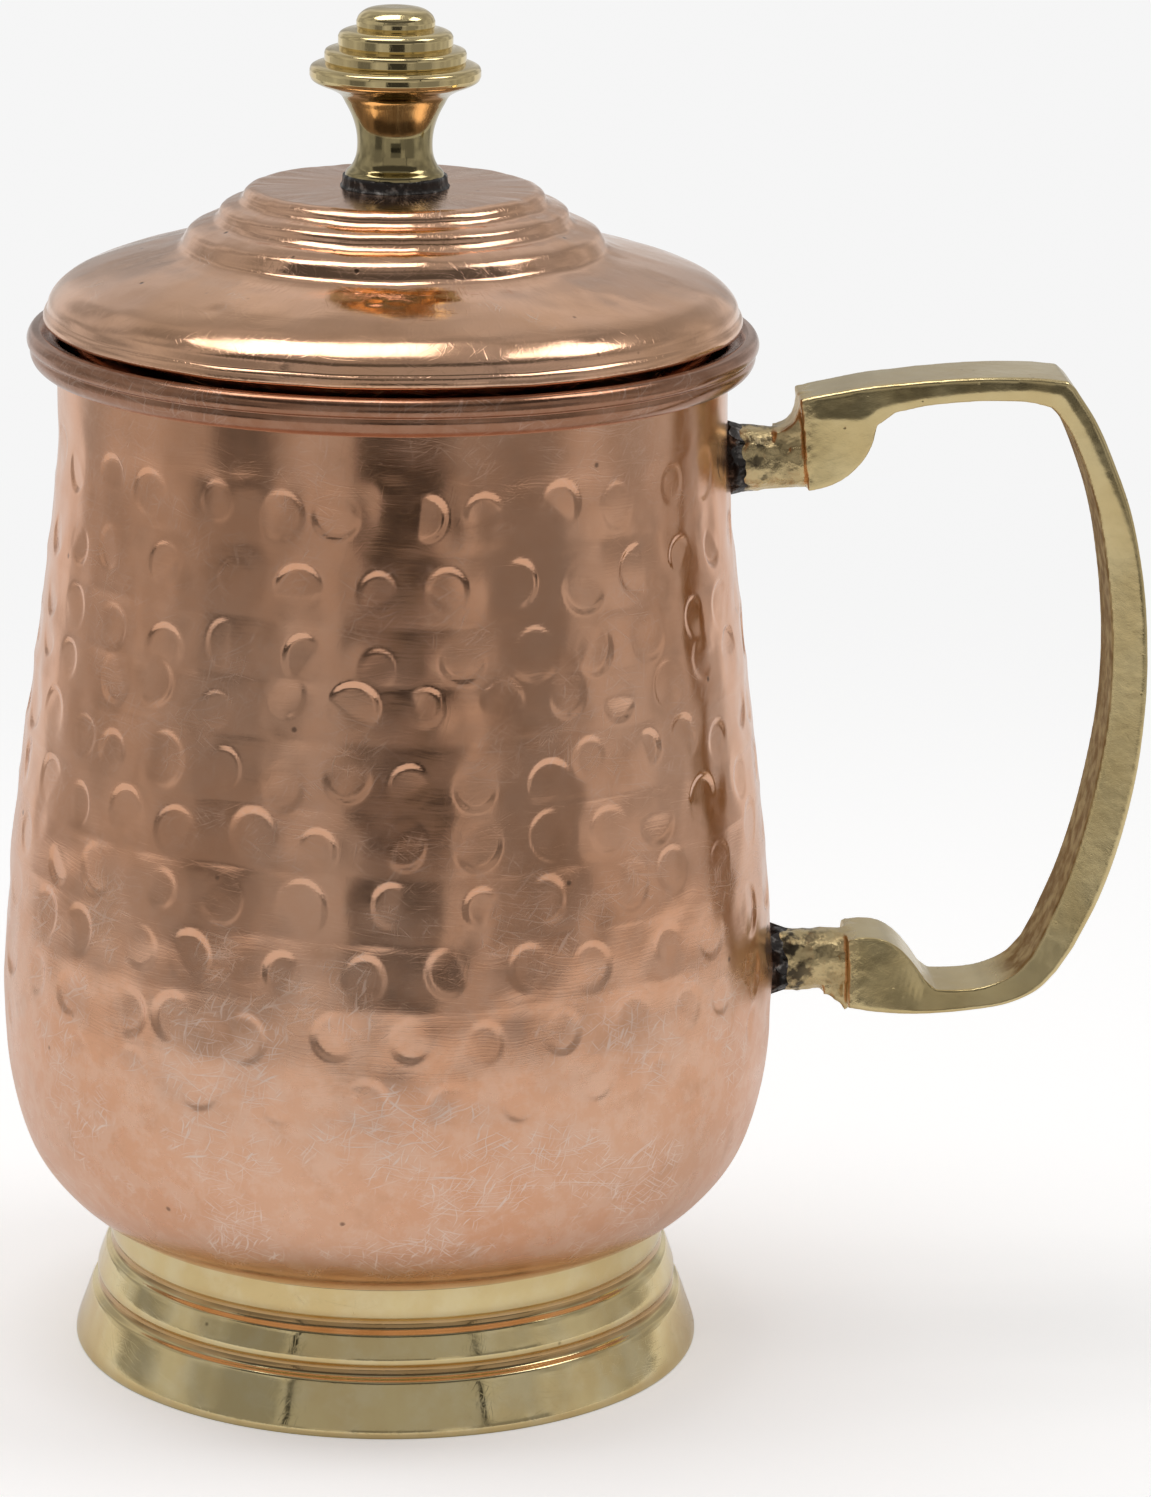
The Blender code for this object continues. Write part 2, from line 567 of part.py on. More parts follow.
def build_lid(lid, copper, brass, solder):
    """Lid sheet, locating collar, knob and their joints."""
    turned("lid_shell", lid_section(), ROUND_STEPS, copper, lid)
    outer_top = lid_under_z(COLLAR_RADIUS) - FIT
    inner_radius = COLLAR_RADIUS - COLLAR_SHEET
    inner_top = lid_under_z(inner_radius) - FIT
    collar = [(inner_radius, COLLAR_BOTTOM_Z + COLLAR_EDGE),
              (inner_radius + COLLAR_EDGE, COLLAR_BOTTOM_Z),
              (COLLAR_RADIUS - COLLAR_EDGE, COLLAR_BOTTOM_Z),
              (COLLAR_RADIUS, COLLAR_BOTTOM_Z + COLLAR_EDGE),
              (COLLAR_RADIUS, outer_top), (inner_radius, min(inner_top, outer_top + FIT))]
    turned("lid_collar", collar, ROUND_STEPS, copper, lid)
    seam_radius = inner_radius - FIT
    seam_top = lid_under_z(seam_radius) - FIT
    far = seam_radius - COLLAR_SEAM
    seam = [(seam_radius, seam_top), (far, lid_under_z(far) - FIT),
            (seam_radius - COLLAR_SEAM * 0.35, seam_top - COLLAR_SEAM * 0.4),
            (seam_radius, seam_top - COLLAR_SEAM)]
    turned("lid_collar_solder", seam, ROUND_STEPS, solder, lid)
    turned("knob", knob_section(), SMALL_STEPS, brass, lid)
    seat = LID_TOP_Z + FIT
    seat_top = seat + KNOB_SOLDER_HEIGHT
    bead = [(KNOB_SEAT_RADIUS + FIT, seat), (KNOB_SOLDER_RADIUS, seat),
            (KNOB_SOLDER_RADIUS - 0.15, seat + KNOB_SOLDER_HEIGHT * 0.55),
            (KNOB_SOLDER_RADIUS - 0.7, seat_top - 0.05), (KNOB_SEAT_RADIUS + FIT, seat_top)]
    turned("knob_solder", bead, SMALL_STEPS, solder, lid)
    rove_top = LID_TOP_Z - LID_SHEET - FIT
    bore = TANG_RADIUS + FIT
    rove_low = rove_top - KNOB_ROVE_THICKNESS
    rove = [(bore, rove_low), (KNOB_ROVE_RADIUS, rove_low),
            (KNOB_ROVE_RADIUS, rove_top), (bore, rove_top)]
    turned("knob_rove", rove, SMALL_STEPS, brass, lid)


def main():
    clear_scene()
    copper = metal("copper", (0.72, 0.36, 0.24), 0.28)
    brass = metal("brass", (0.68, 0.58, 0.33), 0.25)
    solder = metal("solder", (0.14, 0.13, 0.13), 0.5, 0.8)
    wire = metal("steel_wire", (0.45, 0.44, 0.42), 0.45)
    jug = bpy.data.objects.new("jug", None)
    lid = bpy.data.objects.new("lid", None)
    for empty in (jug, lid):
        bpy.context.collection.objects.link(empty)
    build_body(jug, copper)
    build_handle(jug, brass)
    build_fasteners(jug, brass, solder)
    build_foot(jug, brass, solder, wire)
    build_lid(lid, copper, brass, solder)
    for empty in (jug, lid):
        empty.location.x = JUG_AXIS_X * MM


main()
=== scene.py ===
"""Looks of the copper water jug: hammered copper, turned and cast brass, dark solder.

Profiles are (radius, height) pairs in millimetres from the jug's upright axis, which the
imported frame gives. Meshes, the camera and the studio are in metres.
"""

import math

import bpy
import numpy as np
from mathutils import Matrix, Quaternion, Vector, noise


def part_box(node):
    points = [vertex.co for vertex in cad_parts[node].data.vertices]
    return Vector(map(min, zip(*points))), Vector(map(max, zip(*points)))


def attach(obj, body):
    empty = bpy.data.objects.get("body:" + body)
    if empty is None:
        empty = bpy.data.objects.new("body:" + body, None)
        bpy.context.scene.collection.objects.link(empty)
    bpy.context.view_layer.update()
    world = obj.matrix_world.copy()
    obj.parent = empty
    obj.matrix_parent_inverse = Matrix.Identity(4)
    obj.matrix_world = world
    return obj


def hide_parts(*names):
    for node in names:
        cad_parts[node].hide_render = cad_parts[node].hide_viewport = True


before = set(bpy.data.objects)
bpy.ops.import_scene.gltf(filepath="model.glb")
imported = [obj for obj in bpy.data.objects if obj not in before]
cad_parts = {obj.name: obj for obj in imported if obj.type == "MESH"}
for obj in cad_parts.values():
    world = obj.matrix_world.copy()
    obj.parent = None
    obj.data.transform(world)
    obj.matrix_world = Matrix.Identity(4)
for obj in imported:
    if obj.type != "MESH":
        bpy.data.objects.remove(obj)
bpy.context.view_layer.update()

MM = 0.001
FOOT_LOW, FOOT_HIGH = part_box("foot_ring")
AXIS_X = (FOOT_LOW.x + FOOT_HIGH.x) / 2
HANDLE_REACH = (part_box("handle_casting")[1].x - AXIS_X) / MM
BELLY_RADIUS = (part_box("body_shell")[1].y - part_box("body_shell")[0].y) / 2 / MM
KNOB_TOP_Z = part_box("knob")[1].z / MM
COLLAR_BOTTOM_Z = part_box("lid_collar")[0].z / MM
COLLAR_RADIUS = (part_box("lid_collar")[1].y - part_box("lid_collar")[0].y) / 2 / MM

ROUND_STEPS = 360         # facets round the large smooth turned pieces
HAMMERED_STEPS = 800      # facets round the hammered wall
SMALL_STEPS = 160         # facets round the knob
STUB_STEPS = 64           # facets round stubs and roves
FILLET_STEPS = 96         # facets round and rings along the solder at a stub
FILLET_RINGS = 17

# Body sheet.
BODY_SHEET = 0.9
FLOOR_Z = 20.3
FLOOR_RADIUS = 38.5
NECK_RADIUS = 48.55
NECK_TOP_Z = 149.0
BODY_STATIONS = [         # outer face from the floor's edge to the top of the neck
    (FLOOR_RADIUS, FLOOR_Z), (41.8, 21.0), (45.0, 22.6), (49.0, 26.0), (53.0, 31.5),
    (55.9, 41.0), (BELLY_RADIUS, 53.6), (56.1, 72.0), (53.9, 91.5), (51.3, 112.0),
    (49.4, 128.0), (48.7, 136.0), (NECK_RADIUS, 144.0), (NECK_RADIUS, NECK_TOP_Z),
]
LIP_FLARE = [(NECK_RADIUS - BODY_SHEET, NECK_TOP_Z), (48.15, 151.4), (49.4, 153.0), (51.2, 153.75)]
LIP_UPPER_BAND = [(51.2, 153.75), (52.3, 153.4), (52.85, 152.4), (52.75, 151.5), (52.3, 151.0)]
LIP_LOWER_BEAD = [(52.3, 151.0), (52.4, 150.2), (51.9, 149.0), (50.9, 148.2), (49.05, 147.95)]
INSIDE_ROLL = [(49.05, 148.8), (50.5, 149.05), (51.5, 150.6), (51.9, 152.4), (51.1, 152.85),
               (49.6, 152.0), (49.05, 151.1)]
RIM_WIRE_RADIUS = 0.75
RIM_WIRE_CENTRE = (50.65, 150.75)

# Hammer marks: rows of (height, marks round the jug, angle of the first in degrees, force).
MARK_ROWS = [
    (136.5, 30, 3.2, 1), (126.2, 30, 6.5, 1), (116.4, 30, 7.7, 1), (109.8, 32, 3.4, 1),
    (100.0, 36, 0.6, 1), (91.0, 32, -1.0, 1), (82.0, 30, -2.1, 1), (72.4, 30, -5.4, 1),
    (63.0, 32, 1.0, 1), (54.0, 30, 6.0, 0.35),
]
MARK_RADIUS = 3.35
MARK_DEPTH = 0.12
MARK_EDGE = 0.6           # width of the crisp wall round a mark
MARK_HOLLOW = 5.2         # reach of the soft hollow a blow draws round its mark
MARK_FLATNESS = 0.7       # share of the wall's curve that a blow takes out
MARK_TILT = 0.05          # how far out of true a blow lands, as a slope
PLAIN_ABOVE = 143.0
ROW_REACH = 4.7           # half height of the shallow trough a row of blows leaves
ROW_DEPTH = 0.085
RIDGE_HEIGHT = 0.035      # thin broken ridges between the rows
RIDGE_WIDTH = 0.7

# Foot ring.
FOOT_TOP_Z = 20.8
FOOT_LOW_TIER = [(46.4, 0.0), (46.65, 0.4), (46.6, 1.1), (45.5, 4.4), (44.55, 7.1)]
FOOT_LOW_COVE = [(44.55, 7.1), (44.2, 7.8), (43.3, 8.4), (42.9, 9.5), (43.35, 10.2)]
FOOT_MIDDLE_TIER = [(43.35, 10.2), (43.35, 10.8), (42.4, 13.6)]
FOOT_HIGH_COVE = [(42.4, 13.6), (42.1, 14.2), (41.3, 14.9), (41.0, 15.9), (41.4, 16.6)]
FOOT_HIGH_TIER = [(41.4, 16.6), (41.5, 17.3), (41.4, 19.6), (41.4, FOOT_TOP_Z)]
COVE_REFLECTION_HEIGHTS = (9.1, 15.5)   # heights of the coves, where a painted reflection of the copper body tints the brass
FOOT_INNER_TOP = 39.8
FOOT_INSIDE = [(FOOT_INNER_TOP, FOOT_TOP_Z - 0.5), (FOOT_INNER_TOP, 15.0), (41.3, 8.0),
               (42.9, 0.8), (43.5, 0.0)]
FOOT_WELD = 2.4

# Handle casting: outer point, inner point and where between them the bevel starts.
HANDLE_TOP_BAR = [
    (73.0, 146.5, 72.8, 142.2, 0.70), (77.8, 147.0, 77.8, 143.3, 0.70),
    (85.4, 147.5, 85.4, 144.0, 0.62), (93.0, 147.5, 92.0, 143.9, 0.52),
    (97.6, 147.1, 95.3, 143.2, 0.50),
]
HANDLE_GRIP = [
    (98.8, 146.0, 96.2, 142.3, 0.50), (102.2, 140.8, 98.5, 139.0, 0.50),
    (105.3, 133.9, 101.3, 132.3, 0.40), (107.6, 127.7, 103.1, 126.3, 0.26),
    (109.2, 121.2, 104.3, 120.0, 0.12), (110.4, 113.6, 105.3, 112.7, 0.12),
    (HANDLE_REACH, 104.5, 105.8, 104.5, 0.12), (110.85, 96.0, 105.5, 96.4, 0.12),
    (109.9, 87.0, 104.4, 88.0, 0.12), (108.0, 77.8, 102.6, 79.2, 0.12),
    (105.2, 68.9, 100.2, 70.9, 0.12), (101.6, 61.2, 97.0, 62.9, 0.12),
]
HANDLE_BOTTOM_BAR = [
    (99.2, 57.5, 95.3, 59.6, 0.12), (96.4, 54.6, 92.9, 57.0, 0.12),
    (92.0, 52.5, 89.4, 55.3, 0.12), (85.0, 51.35, 84.8, 54.6, 0.12),
    (80.4, 51.0, 81.4, 54.6, 0.10),
]
LOWER_LOBE = [
    (78.4, 50.95, 79.8, 55.9, 0.08), (75.8, 51.0, 77.9, 58.6, 0.07),
    (73.4, 51.2, 75.6, 61.0, 0.06), (71.4, 51.4, 73.2, 62.3, 0.06),
    (69.8, 51.7, 70.5, 62.6, 0.06), (68.2, 52.0, 68.0, 62.3, 0.06),
]
UPPER_LOBE_CENTRE = (59.3, 141.0)
UPPER_LOBE_RADIUS = 10.9
UPPER_LOBE_TOP = [(58.9, 144.0), (61.4, 144.6), (64.1, 145.1), (67.0, 145.7), (70.1, 146.2)]
UPPER_LOBE_CREASE_Z = 141.2
UPPER_LOBE_ARC = (-84, -4)
UPPER_LOBE_SHARE = 0.58
HANDLE_END_DEPTH = 10.6
HANDLE_CORNER_DEPTH = 14.2
HANDLE_GRIP_DEPTH = 13.6
HANDLE_EDGE = 0.4
CREASE_FALL = 0.24
CREASE_WIDTH = 5.0
UPPER_WEB_CENTRE = (55.4, 142.4)
UPPER_WEB_CORNERS = [(61.0, 142.9), (61.0, 136.0), (55.5, 136.0)]
LOWER_WEB_CENTRE = (64.6, 49.6)
LOWER_WEB_CORNERS = [(71.0, 52.4), (71.0, 57.0), (64.7, 57.0)]
WEB_RADIUS = 3.5
WEB_HALF = 3.5
SOLDER_REACH = 2.6        # how far the solder climbs a stub
STUBS = {                 # height, radii at the wall and in the strap, end
    "upper": (134.3, (4.9, 4.3), 61.0),
    "lower": (57.8, (4.6, 4.5), 70.0),
}
TENON_RADIUS = 3.0
HEAD_RADIUS = 4.2
HEAD_THICKNESS = 1.0
ROVE_RADIUS = 5.2
ROVE_THICKNESS = 1.0
ROVE_EDGE = 0.2
UPPER_STUB_REACH = 59.5   # where each rough stub meets its filed lobe
LOWER_STUB_REACH = 68.5
HANDLE_MIDDLE_Z = 100.0
FILED_SKIN = [(9.0, 0.03), (2.2, 0.01), (1.1, 0.008)]      # size and depth of the lumps
CAST_SKIN = [(3.5, 0.25), (1.5, 0.18), (0.8, 0.08)]
CASTING_VOXEL = 0.27 * MM

# Lid.
LID_SHEET = 0.8
LID_TOP_Z = 174.1
LID_TOP = [(19.0, 174.1), (20.2, 174.05), (21.0, 173.75), (21.6, 173.2), (21.85, 172.6)]
LID_FIRST_STEP = [(21.85, 172.6), (22.4, 172.1), (23.9, 171.6), (24.9, 171.0), (25.35, 170.0)]
LID_SECOND_STEP = [(25.35, 170.0), (26.0, 169.35), (27.6, 168.8), (29.4, 167.9), (30.25, 166.7)]
LID_DOME = [(30.25, 166.7), (30.8, 165.8), (32.6, 165.0), (37.0, 163.9), (42.6, 162.2),
            (47.2, 160.2), (49.5, 158.0), (49.95, 156.5)]
LID_HEM = [(49.95, 156.5), (50.3, 156.1), (50.5, 155.4), (50.3, 154.6), (49.7, 154.35),
           (48.9, 154.5), (48.7, 155.4)]
LID_DINGS = [             # angle from the front, distance out, size, depth
    (-6, 36.5, 1.1, 0.14), (-1.5, 37.2, 0.8, 0.09), (9, 38.5, 2.6, 0.10), (-38, 42.0, 1.3, 0.10),
    (47, 40.0, 1.6, 0.10), (118, 39.0, 1.5, 0.12), (205, 43.5, 1.8, 0.12), (14, 48.6, 0.7, 0.16),
]
COLLAR_SHEET = 0.8
COLLAR_EDGE = 0.2
COLLAR_SEAM = 1.7

# Knob.
KNOB_RUNS = [
    [(0.0, KNOB_TOP_Z), (2.6, KNOB_TOP_Z - 0.05), (4.3, 199.55), (5.3, 198.75), (5.65, 198.0)],
    [(5.65, 198.0), (5.65, 197.3)],
    [(5.5, 197.0), (5.9, 196.9), (7.2, 196.7), (7.95, 196.3), (8.25, 195.8)],
    [(8.25, 195.8), (8.25, 194.6)],
    [(8.1, 194.3), (8.5, 194.2), (9.4, 194.05), (10.0, 193.8), (10.2, 193.4)],
    [(10.2, 193.4), (10.2, 192.35)],
    [(10.05, 192.05), (10.6, 191.98), (11.5, 191.8), (12.1, 191.45), (12.3, 191.0)],
    [(12.3, 191.0), (12.3, 190.2)],
    [(12.3, 190.2), (12.0, 189.55), (11.2, 189.05), (9.6, 188.4), (7.9, 187.4), (7.1, 186.1),
     (6.2, 184.3), (5.6, 182.3), (5.42, 180.3), (5.6, 178.6), (6.2, 177.2), (7.0, 176.3),
     (7.2, 175.6), (7.2, 174.2)],
]
TANG_RADIUS = 2.5
TANG_HEAD_RADIUS = 3.7
TANG_HEAD_THICKNESS = 0.9
KNOB_ROVE_RADIUS = 5.5
KNOB_ROVE_THICKNESS = 0.95
KNOB_SOLDER = [(7.15, 174.1), (7.85, 174.12), (7.6, 174.45), (7.5, 175.0), (7.42, 175.7),
               (7.1, 175.95)]
KNOB_SOLDER_INSIDE = [(6.4, 175.9), (6.4, 174.1)]

# Studio. Angles are in degrees, azimuth 0 towards the camera and positive to its right.
CAMERA_DISTANCE = 0.8433
CAMERA_HEIGHT = 0.3190
HANDLE_TURN = 2.0
CAMERA_YAW = 1.854
CAMERA_PITCH = 15.148
CAMERA_ROLL = 0.915
FOCAL_WIDTHS = 5925 / 1151   # focal length over the image's width
SENSOR = 36.0
SOFTBOX_RADIANCE = 3.2
BACKDROP = 0.92              # how bright the backdrop and the far floor look
FLOOR_GLOW = 0.14            # light the paper gives off besides what it reflects
CAMERA_GLOW = 0.22           # and how much more of it the camera sees
UNROLL_RADIUS = 50.0         # where textures unrolled round the axis are true to size
TABLE_RADIUS = 0.38          # the polished jug sees no floor beyond this
FLOOR_HALF = 6.0
LAMP_HEIGHT = 0.9            # of the softboxes above the middle of the jug
LAMP_RAISE = 0.15
SOFTBOXES = {"left": (0.12, -0.74), "right": (0.49, 1.11)}   # near and far edge over height
ROOM_PANELS = [              # azimuths, levels, softness, radiance
    (-190, -135, -70, -6, 4, 0.80),
    (135, 190, -70, -6, 4, 0.80),
    (-62, -42, -70, 20, 3, 0.29),
    (-62, -42, -70, -9, 3, 0.14),
    (-26, -14, -70, 6, 2, 0.44),
    (17, 32, -70, -9, 3, 0.30),
    (32, 60, -70, 7, 3, 0.25),
    (-70, 70, 34, 50, 4, 0.10),
    (-34, 34, 8, 30, 1, 0.40),
    (-37, -35.2, 6, 32, 0.3, 0.02),
    (35.2, 37, 6, 32, 0.3, 0.02),
    (-11, 17, -4, 6, 3, 0.2),
    (-11, 17, -17, -10, 3, 0.11),
    (-11, 17, -10, -5, 2, 0.04),
]


def smooth_path(rows, spacing):
    """Centripetal Catmull-Rom curve through the rows, points at most spacing apart.

    The first two numbers of a row are its place; any others are carried along.
    """
    points = [np.array(row, dtype=float) for row in rows]
    ends = [2 * points[0] - points[1]] + points + [2 * points[-1] - points[-2]]
    path = []
    for i in range(1, len(ends) - 2):
        p0, p1, p2, p3 = ends[i - 1:i + 3]
        d0 = math.sqrt(math.dist(p0[:2], p1[:2]))
        d1 = math.sqrt(math.dist(p1[:2], p2[:2]))
        d2 = math.sqrt(math.dist(p2[:2], p3[:2]))
        out = d1 * ((p1 - p0) / d0 - (p2 - p0) / (d0 + d1) + (p2 - p1) / d1)
        into = d1 * ((p2 - p1) / d1 - (p3 - p1) / (d1 + d2) + (p3 - p2) / d2)
        count = max(1, math.ceil(d1 * d1 / spacing))
        for step in range(count):
            t = step / count
            a = 2 * t ** 3 - 3 * t ** 2 + 1
            b = t ** 3 - 2 * t ** 2 + t
            c = 3 * t ** 2 - 2 * t ** 3
            d = t ** 3 - t ** 2
            path.append(a * p1 + b * out + c * p2 + d * into)
    path.append(points[-1])
    return [tuple(point.tolist()) for point in path]


def chain(runs, spacing):
    """Smooth runs joined end to end, with a firm corner where two runs meet."""
    path = []
    for run in runs:
        points = smooth_path(run, spacing)
        path += points[1:] if path and math.dist(path[-1], points[0]) < 1e-6 else points
    return path


def arc(centre, radius, start, end, count):
    """Points on an arc, angles in degrees."""
    return [(centre[0] + radius * math.cos(turn), centre[1] + radius * math.sin(turn))
            for turn in np.radians(np.linspace(start, end, count))]


def offset_path(path, distance):
    """The path moved sideways; a positive distance moves it to its left."""
    moved = []
    for i, point in enumerate(path):
        before = Vector(path[max(i - 1, 0)])
        after = Vector(path[min(i + 1, len(path) - 1)])
        along = (after - before).normalized()
        moved.append((point[0] - along.y * distance, point[1] + along.x * distance))
    return moved


def linked(name, data):
    """A new object in the scene."""
    made = bpy.data.objects.new(name, data)
    bpy.context.scene.collection.objects.link(made)
    return made


def new_mesh(vertices, faces):
    """A mesh from lists of places and faces."""
    mesh = bpy.data.meshes.new("mesh")
    mesh.from_pydata(vertices, [], faces)
    mesh.update()
    return mesh


def add_piece(node, mesh, materials, body, sharp=40):
    """Link a mesh as the smooth-shaded piece that stands for a CAD node and rides its body."""
    mesh.name = node + "_look"
    mesh.shade_smooth()
    mesh.set_sharp_from_angle(angle=math.radians(sharp))
    mesh.materials.clear()
    for material in materials:
        mesh.materials.append(material)
    piece = linked(node + "_look", mesh)
    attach(piece, body)
    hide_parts(node)
    return piece


def ring_faces(rings, steps):
    """Faces between rings of vertices; a ring is (first vertex, vertices in it)."""
    faces = []
    for (first, count), (second, other) in zip(rings, rings[1:] + rings[:1]):
        if count == 1 and other == 1:
            continue
        for j in range(steps):
            k = (j + 1) % steps
            if count == 1:
                faces.append((first, second + k, second + j))
            elif other == 1:
                faces.append((first + j, first + k, second))
            else:
                faces.append((first + j, first + k, second + k, second + j))
    return faces


def tube(loops, capped=True):
    """Vertices and faces of a skin round loops of corners, capped or closed on itself."""
    corners = len(loops[0])
    vertices = [point for loop in loops for point in loop]
    faces = ring_faces([(i * corners, corners) for i in range(len(loops))], corners)
    if capped:
        last = len(vertices) - corners
        faces = faces[:-corners] + [tuple(range(corners))[::-1], tuple(range(last, len(vertices)))]
    return vertices, faces


def spin(section, steps, shift=None, level=None, lift=None):
    """Vertices and faces of a closed section spun about the jug's axis.

    shift adds to the radius of each point at each step, lift to its height. With a level
    the section is spun about a line along +X at that height, and its heights run along
    that line.
    """
    area = sum(p[0] * q[1] - q[0] * p[1] for p, q in zip(section, section[1:] + section[:1]))
    order = -1 if area < 0 else 1
    still = np.zeros((len(section), steps))
    shift = still if shift is None else shift[::order]
    lift = still if lift is None else lift[::order]
    angles = turn_angles(steps)
    vertices = []
    rings = []
    for i, (radius, height) in enumerate(section[::order]):
        count = 1 if radius < 1e-6 else steps
        rings.append((len(vertices), count))
        reach = radius + shift[i, :count]
        across = reach * np.cos(angles[:count])
        away = reach * np.sin(angles[:count])
        along = height + lift[i, :count]
        if level is None:
            places = np.stack([across + AXIS_X / MM, away, along], axis=1)
        else:
            places = np.stack([along + AXIS_X / MM, across, away + level], axis=1)
        vertices.extend((places * MM).tolist())
    return vertices, ring_faces(rings, steps)


def turned(node, section, steps, material, body, slot, **changes):
    """A piece spun from a closed section; changes are the last arguments of spin."""
    add_piece(node, new_mesh(*spin(section, steps, **changes)), [material], body)


def turn_angles(steps):
    """Angles of the steps round the axis."""
    return np.linspace(0, 2 * math.pi, steps, endpoint=False)


def waves(seed, angles, heights, longest, shortest, count=24):
    """Smooth random field over angle and height, about -1 to 1, periodic round the jug."""
    random = np.random.RandomState(seed)
    field = np.zeros((len(heights), len(angles)))
    for _ in range(count):
        length = math.exp(random.uniform(math.log(shortest), math.log(longest)))
        turn = random.uniform(0, 2 * math.pi)
        around = round(2 * math.pi * BELLY_RADIUS / length * math.cos(turn))
        up = 2 * math.pi / length * math.sin(turn)
        phase = random.uniform(0, 2 * math.pi)
        field += np.sin(around * angles[None, :] + up * heights[:, None] + phase)
    return field / math.sqrt(count)


def ease(low, high, value):
    """Smooth step from 0 at low to 1 at high."""
    t = np.clip((value - low) / (high - low), 0, 1)
    return t * t * (3 - 2 * t)


def row_troughs(angles, heights):
    """Depth of the shallow troughs that the rows of blows leave, ridges between them."""
    strength = 1 + 0.6 * waves(11, angles, heights, 90, 25)
    wander = 0.5 * waves(12, angles, np.zeros(1), 120, 40)[0]
    depth = np.zeros((len(heights), len(angles)))
    for level, _, _, force in MARK_ROWS:
        lift = (heights[:, None] - level - wander[None, :]) / ROW_REACH
        depth = np.maximum(depth, force * ROW_DEPTH * (1 - lift ** 2))
    ridges = np.zeros((len(heights), len(angles)))
    for (above, *_), (below, *_) in zip(MARK_ROWS, MARK_ROWS[1:]):
        off = (heights[:, None] - (above + below) / 2 - wander[None, :]) / RIDGE_WIDTH
        ridges += np.exp(-off ** 2)
    broken = np.clip(0.6 + waves(13, angles, heights, 60, 15), 0, 1.5)
    clear = 0.3 + 0.7 * ease(65, 95, heights)
    return (depth * strength - RIDGE_HEIGHT * ridges * broken) * clear[:, None]


def hammer_marks(angles, heights, radii):
    """Depth of the round hammer marks and of the soft hollows round them."""
    random = np.random.RandomState(5)
    marks = np.zeros((len(heights), len(angles)))
    hollows = np.zeros((len(heights), len(angles)))
    for level, count, first, force in MARK_ROWS:
        for k in range(count):
            turn = math.radians(first + 360 * k / count + random.normal(0, 1.1) - 90)
            middle = level + random.normal(0, 0.7)
            size = MARK_RADIUS * random.uniform(0.82, 1.15)
            deep = MARK_DEPTH * random.uniform(0.75, 1.25) * force
            tilt = random.normal(0, MARK_TILT, 2)
            stretch = random.uniform(0.95, 1.2)
            reach = 3 * MARK_HOLLOW
            rows = np.where(abs(heights - middle) < reach)[0]
            away = (angles - turn + math.pi) % (2 * math.pi) - math.pi
            columns = np.where(abs(away) * NECK_RADIUS < reach)[0]
            radius = radii[rows][:, None]
            side = away[columns][None, :] * radius
            rise = (heights[rows][:, None] - middle) / stretch
            distance = np.hypot(side, rise)
            curve = MARK_FLATNESS * side ** 2 / (2 * radius)
            floor = deep + tilt[0] * side + tilt[1] * rise - curve
            cup = np.clip(floor, 0.02, None) * (1 - ease(size - MARK_EDGE, size, distance))
            hollow = 0.6 * deep * np.exp(-(distance / MARK_HOLLOW) ** 2)
            patch = np.ix_(rows, columns)
            marks[patch] = np.maximum(marks[patch], cup)
            hollows[patch] = np.maximum(hollows[patch], hollow)
    return marks + hollows


def wall_relief(angles, heights, radii):
    """Inward depth of the whole worked wall, in millimetres."""
    worked = ease(45, 52, heights) * (1 - ease(PLAIN_ABOVE - 4, PLAIN_ABOVE + 2, heights))
    planish = 0.09 * waves(21, angles, heights, 40, 14) + 0.045 * waves(22, angles, heights, 12, 6)
    relief = row_troughs(angles, heights) + hammer_marks(angles, heights, radii) + planish
    loose = 0.05 * waves(23, angles, heights, 80, 30)
    return relief * worked[:, None] + loose * ease(24, 34, heights)[:, None]


def body_radius(height):
    """Outer radius of the plain body at a height, or at each of many."""
    path = smooth_path(BODY_STATIONS, 1.0)
    return np.interp(height, [p[1] for p in path], [p[0] for p in path])


def build_body(copper, inside):
    """Hammered copper shell, floor and rolled lip in one closed mesh."""
    outer = smooth_path([(0.01, FLOOR_Z), (20.0, FLOOR_Z), (FLOOR_RADIUS - 1, FLOOR_Z)], 2.0)
    outer += smooth_path(BODY_STATIONS, 0.42)
    floor = smooth_path([(0.01, FLOOR_Z), (FLOOR_RADIUS - 1, FLOOR_Z)], 3.0)
    inner = offset_path(floor + smooth_path(BODY_STATIONS, 1.4), BODY_SHEET)
    lip = chain([LIP_FLARE, LIP_UPPER_BAND, LIP_LOWER_BEAD, INSIDE_ROLL], 0.22)
    outer[0] = (0.0, FLOOR_Z)
    inner[0] = (0.0, FLOOR_Z + BODY_SHEET)
    section = inner[:-1] + lip + outer[::-1]
    angles = turn_angles(HAMMERED_STEPS)
    shift = np.zeros((len(section), HAMMERED_STEPS))
    wall = np.array(outer[::-1])
    shift[-len(outer):] = -wall_relief(angles, wall[:, 1], wall[:, 0])
    lining = np.array(inner[:-1])
    shift[:len(lining)] = -0.5 * wall_relief(angles, lining[:, 1], lining[:, 0])
    edge = slice(len(lining), len(lining) + len(lip))
    shift[edge] = 0.05 * waves(31, angles, np.array(lip)[:, 1], 60, 12)
    mesh = new_mesh(*spin(section, HAMMERED_STEPS, shift))
    paint_inside(add_piece("body_shell", mesh, [copper, inside], "jug", 60))


def gathered(items, key):
    """A vector that every vertex or face has, as rows of an array."""
    values = np.zeros(len(items) * 3)
    items.foreach_get(key, values)
    return values.reshape(-1, 3)


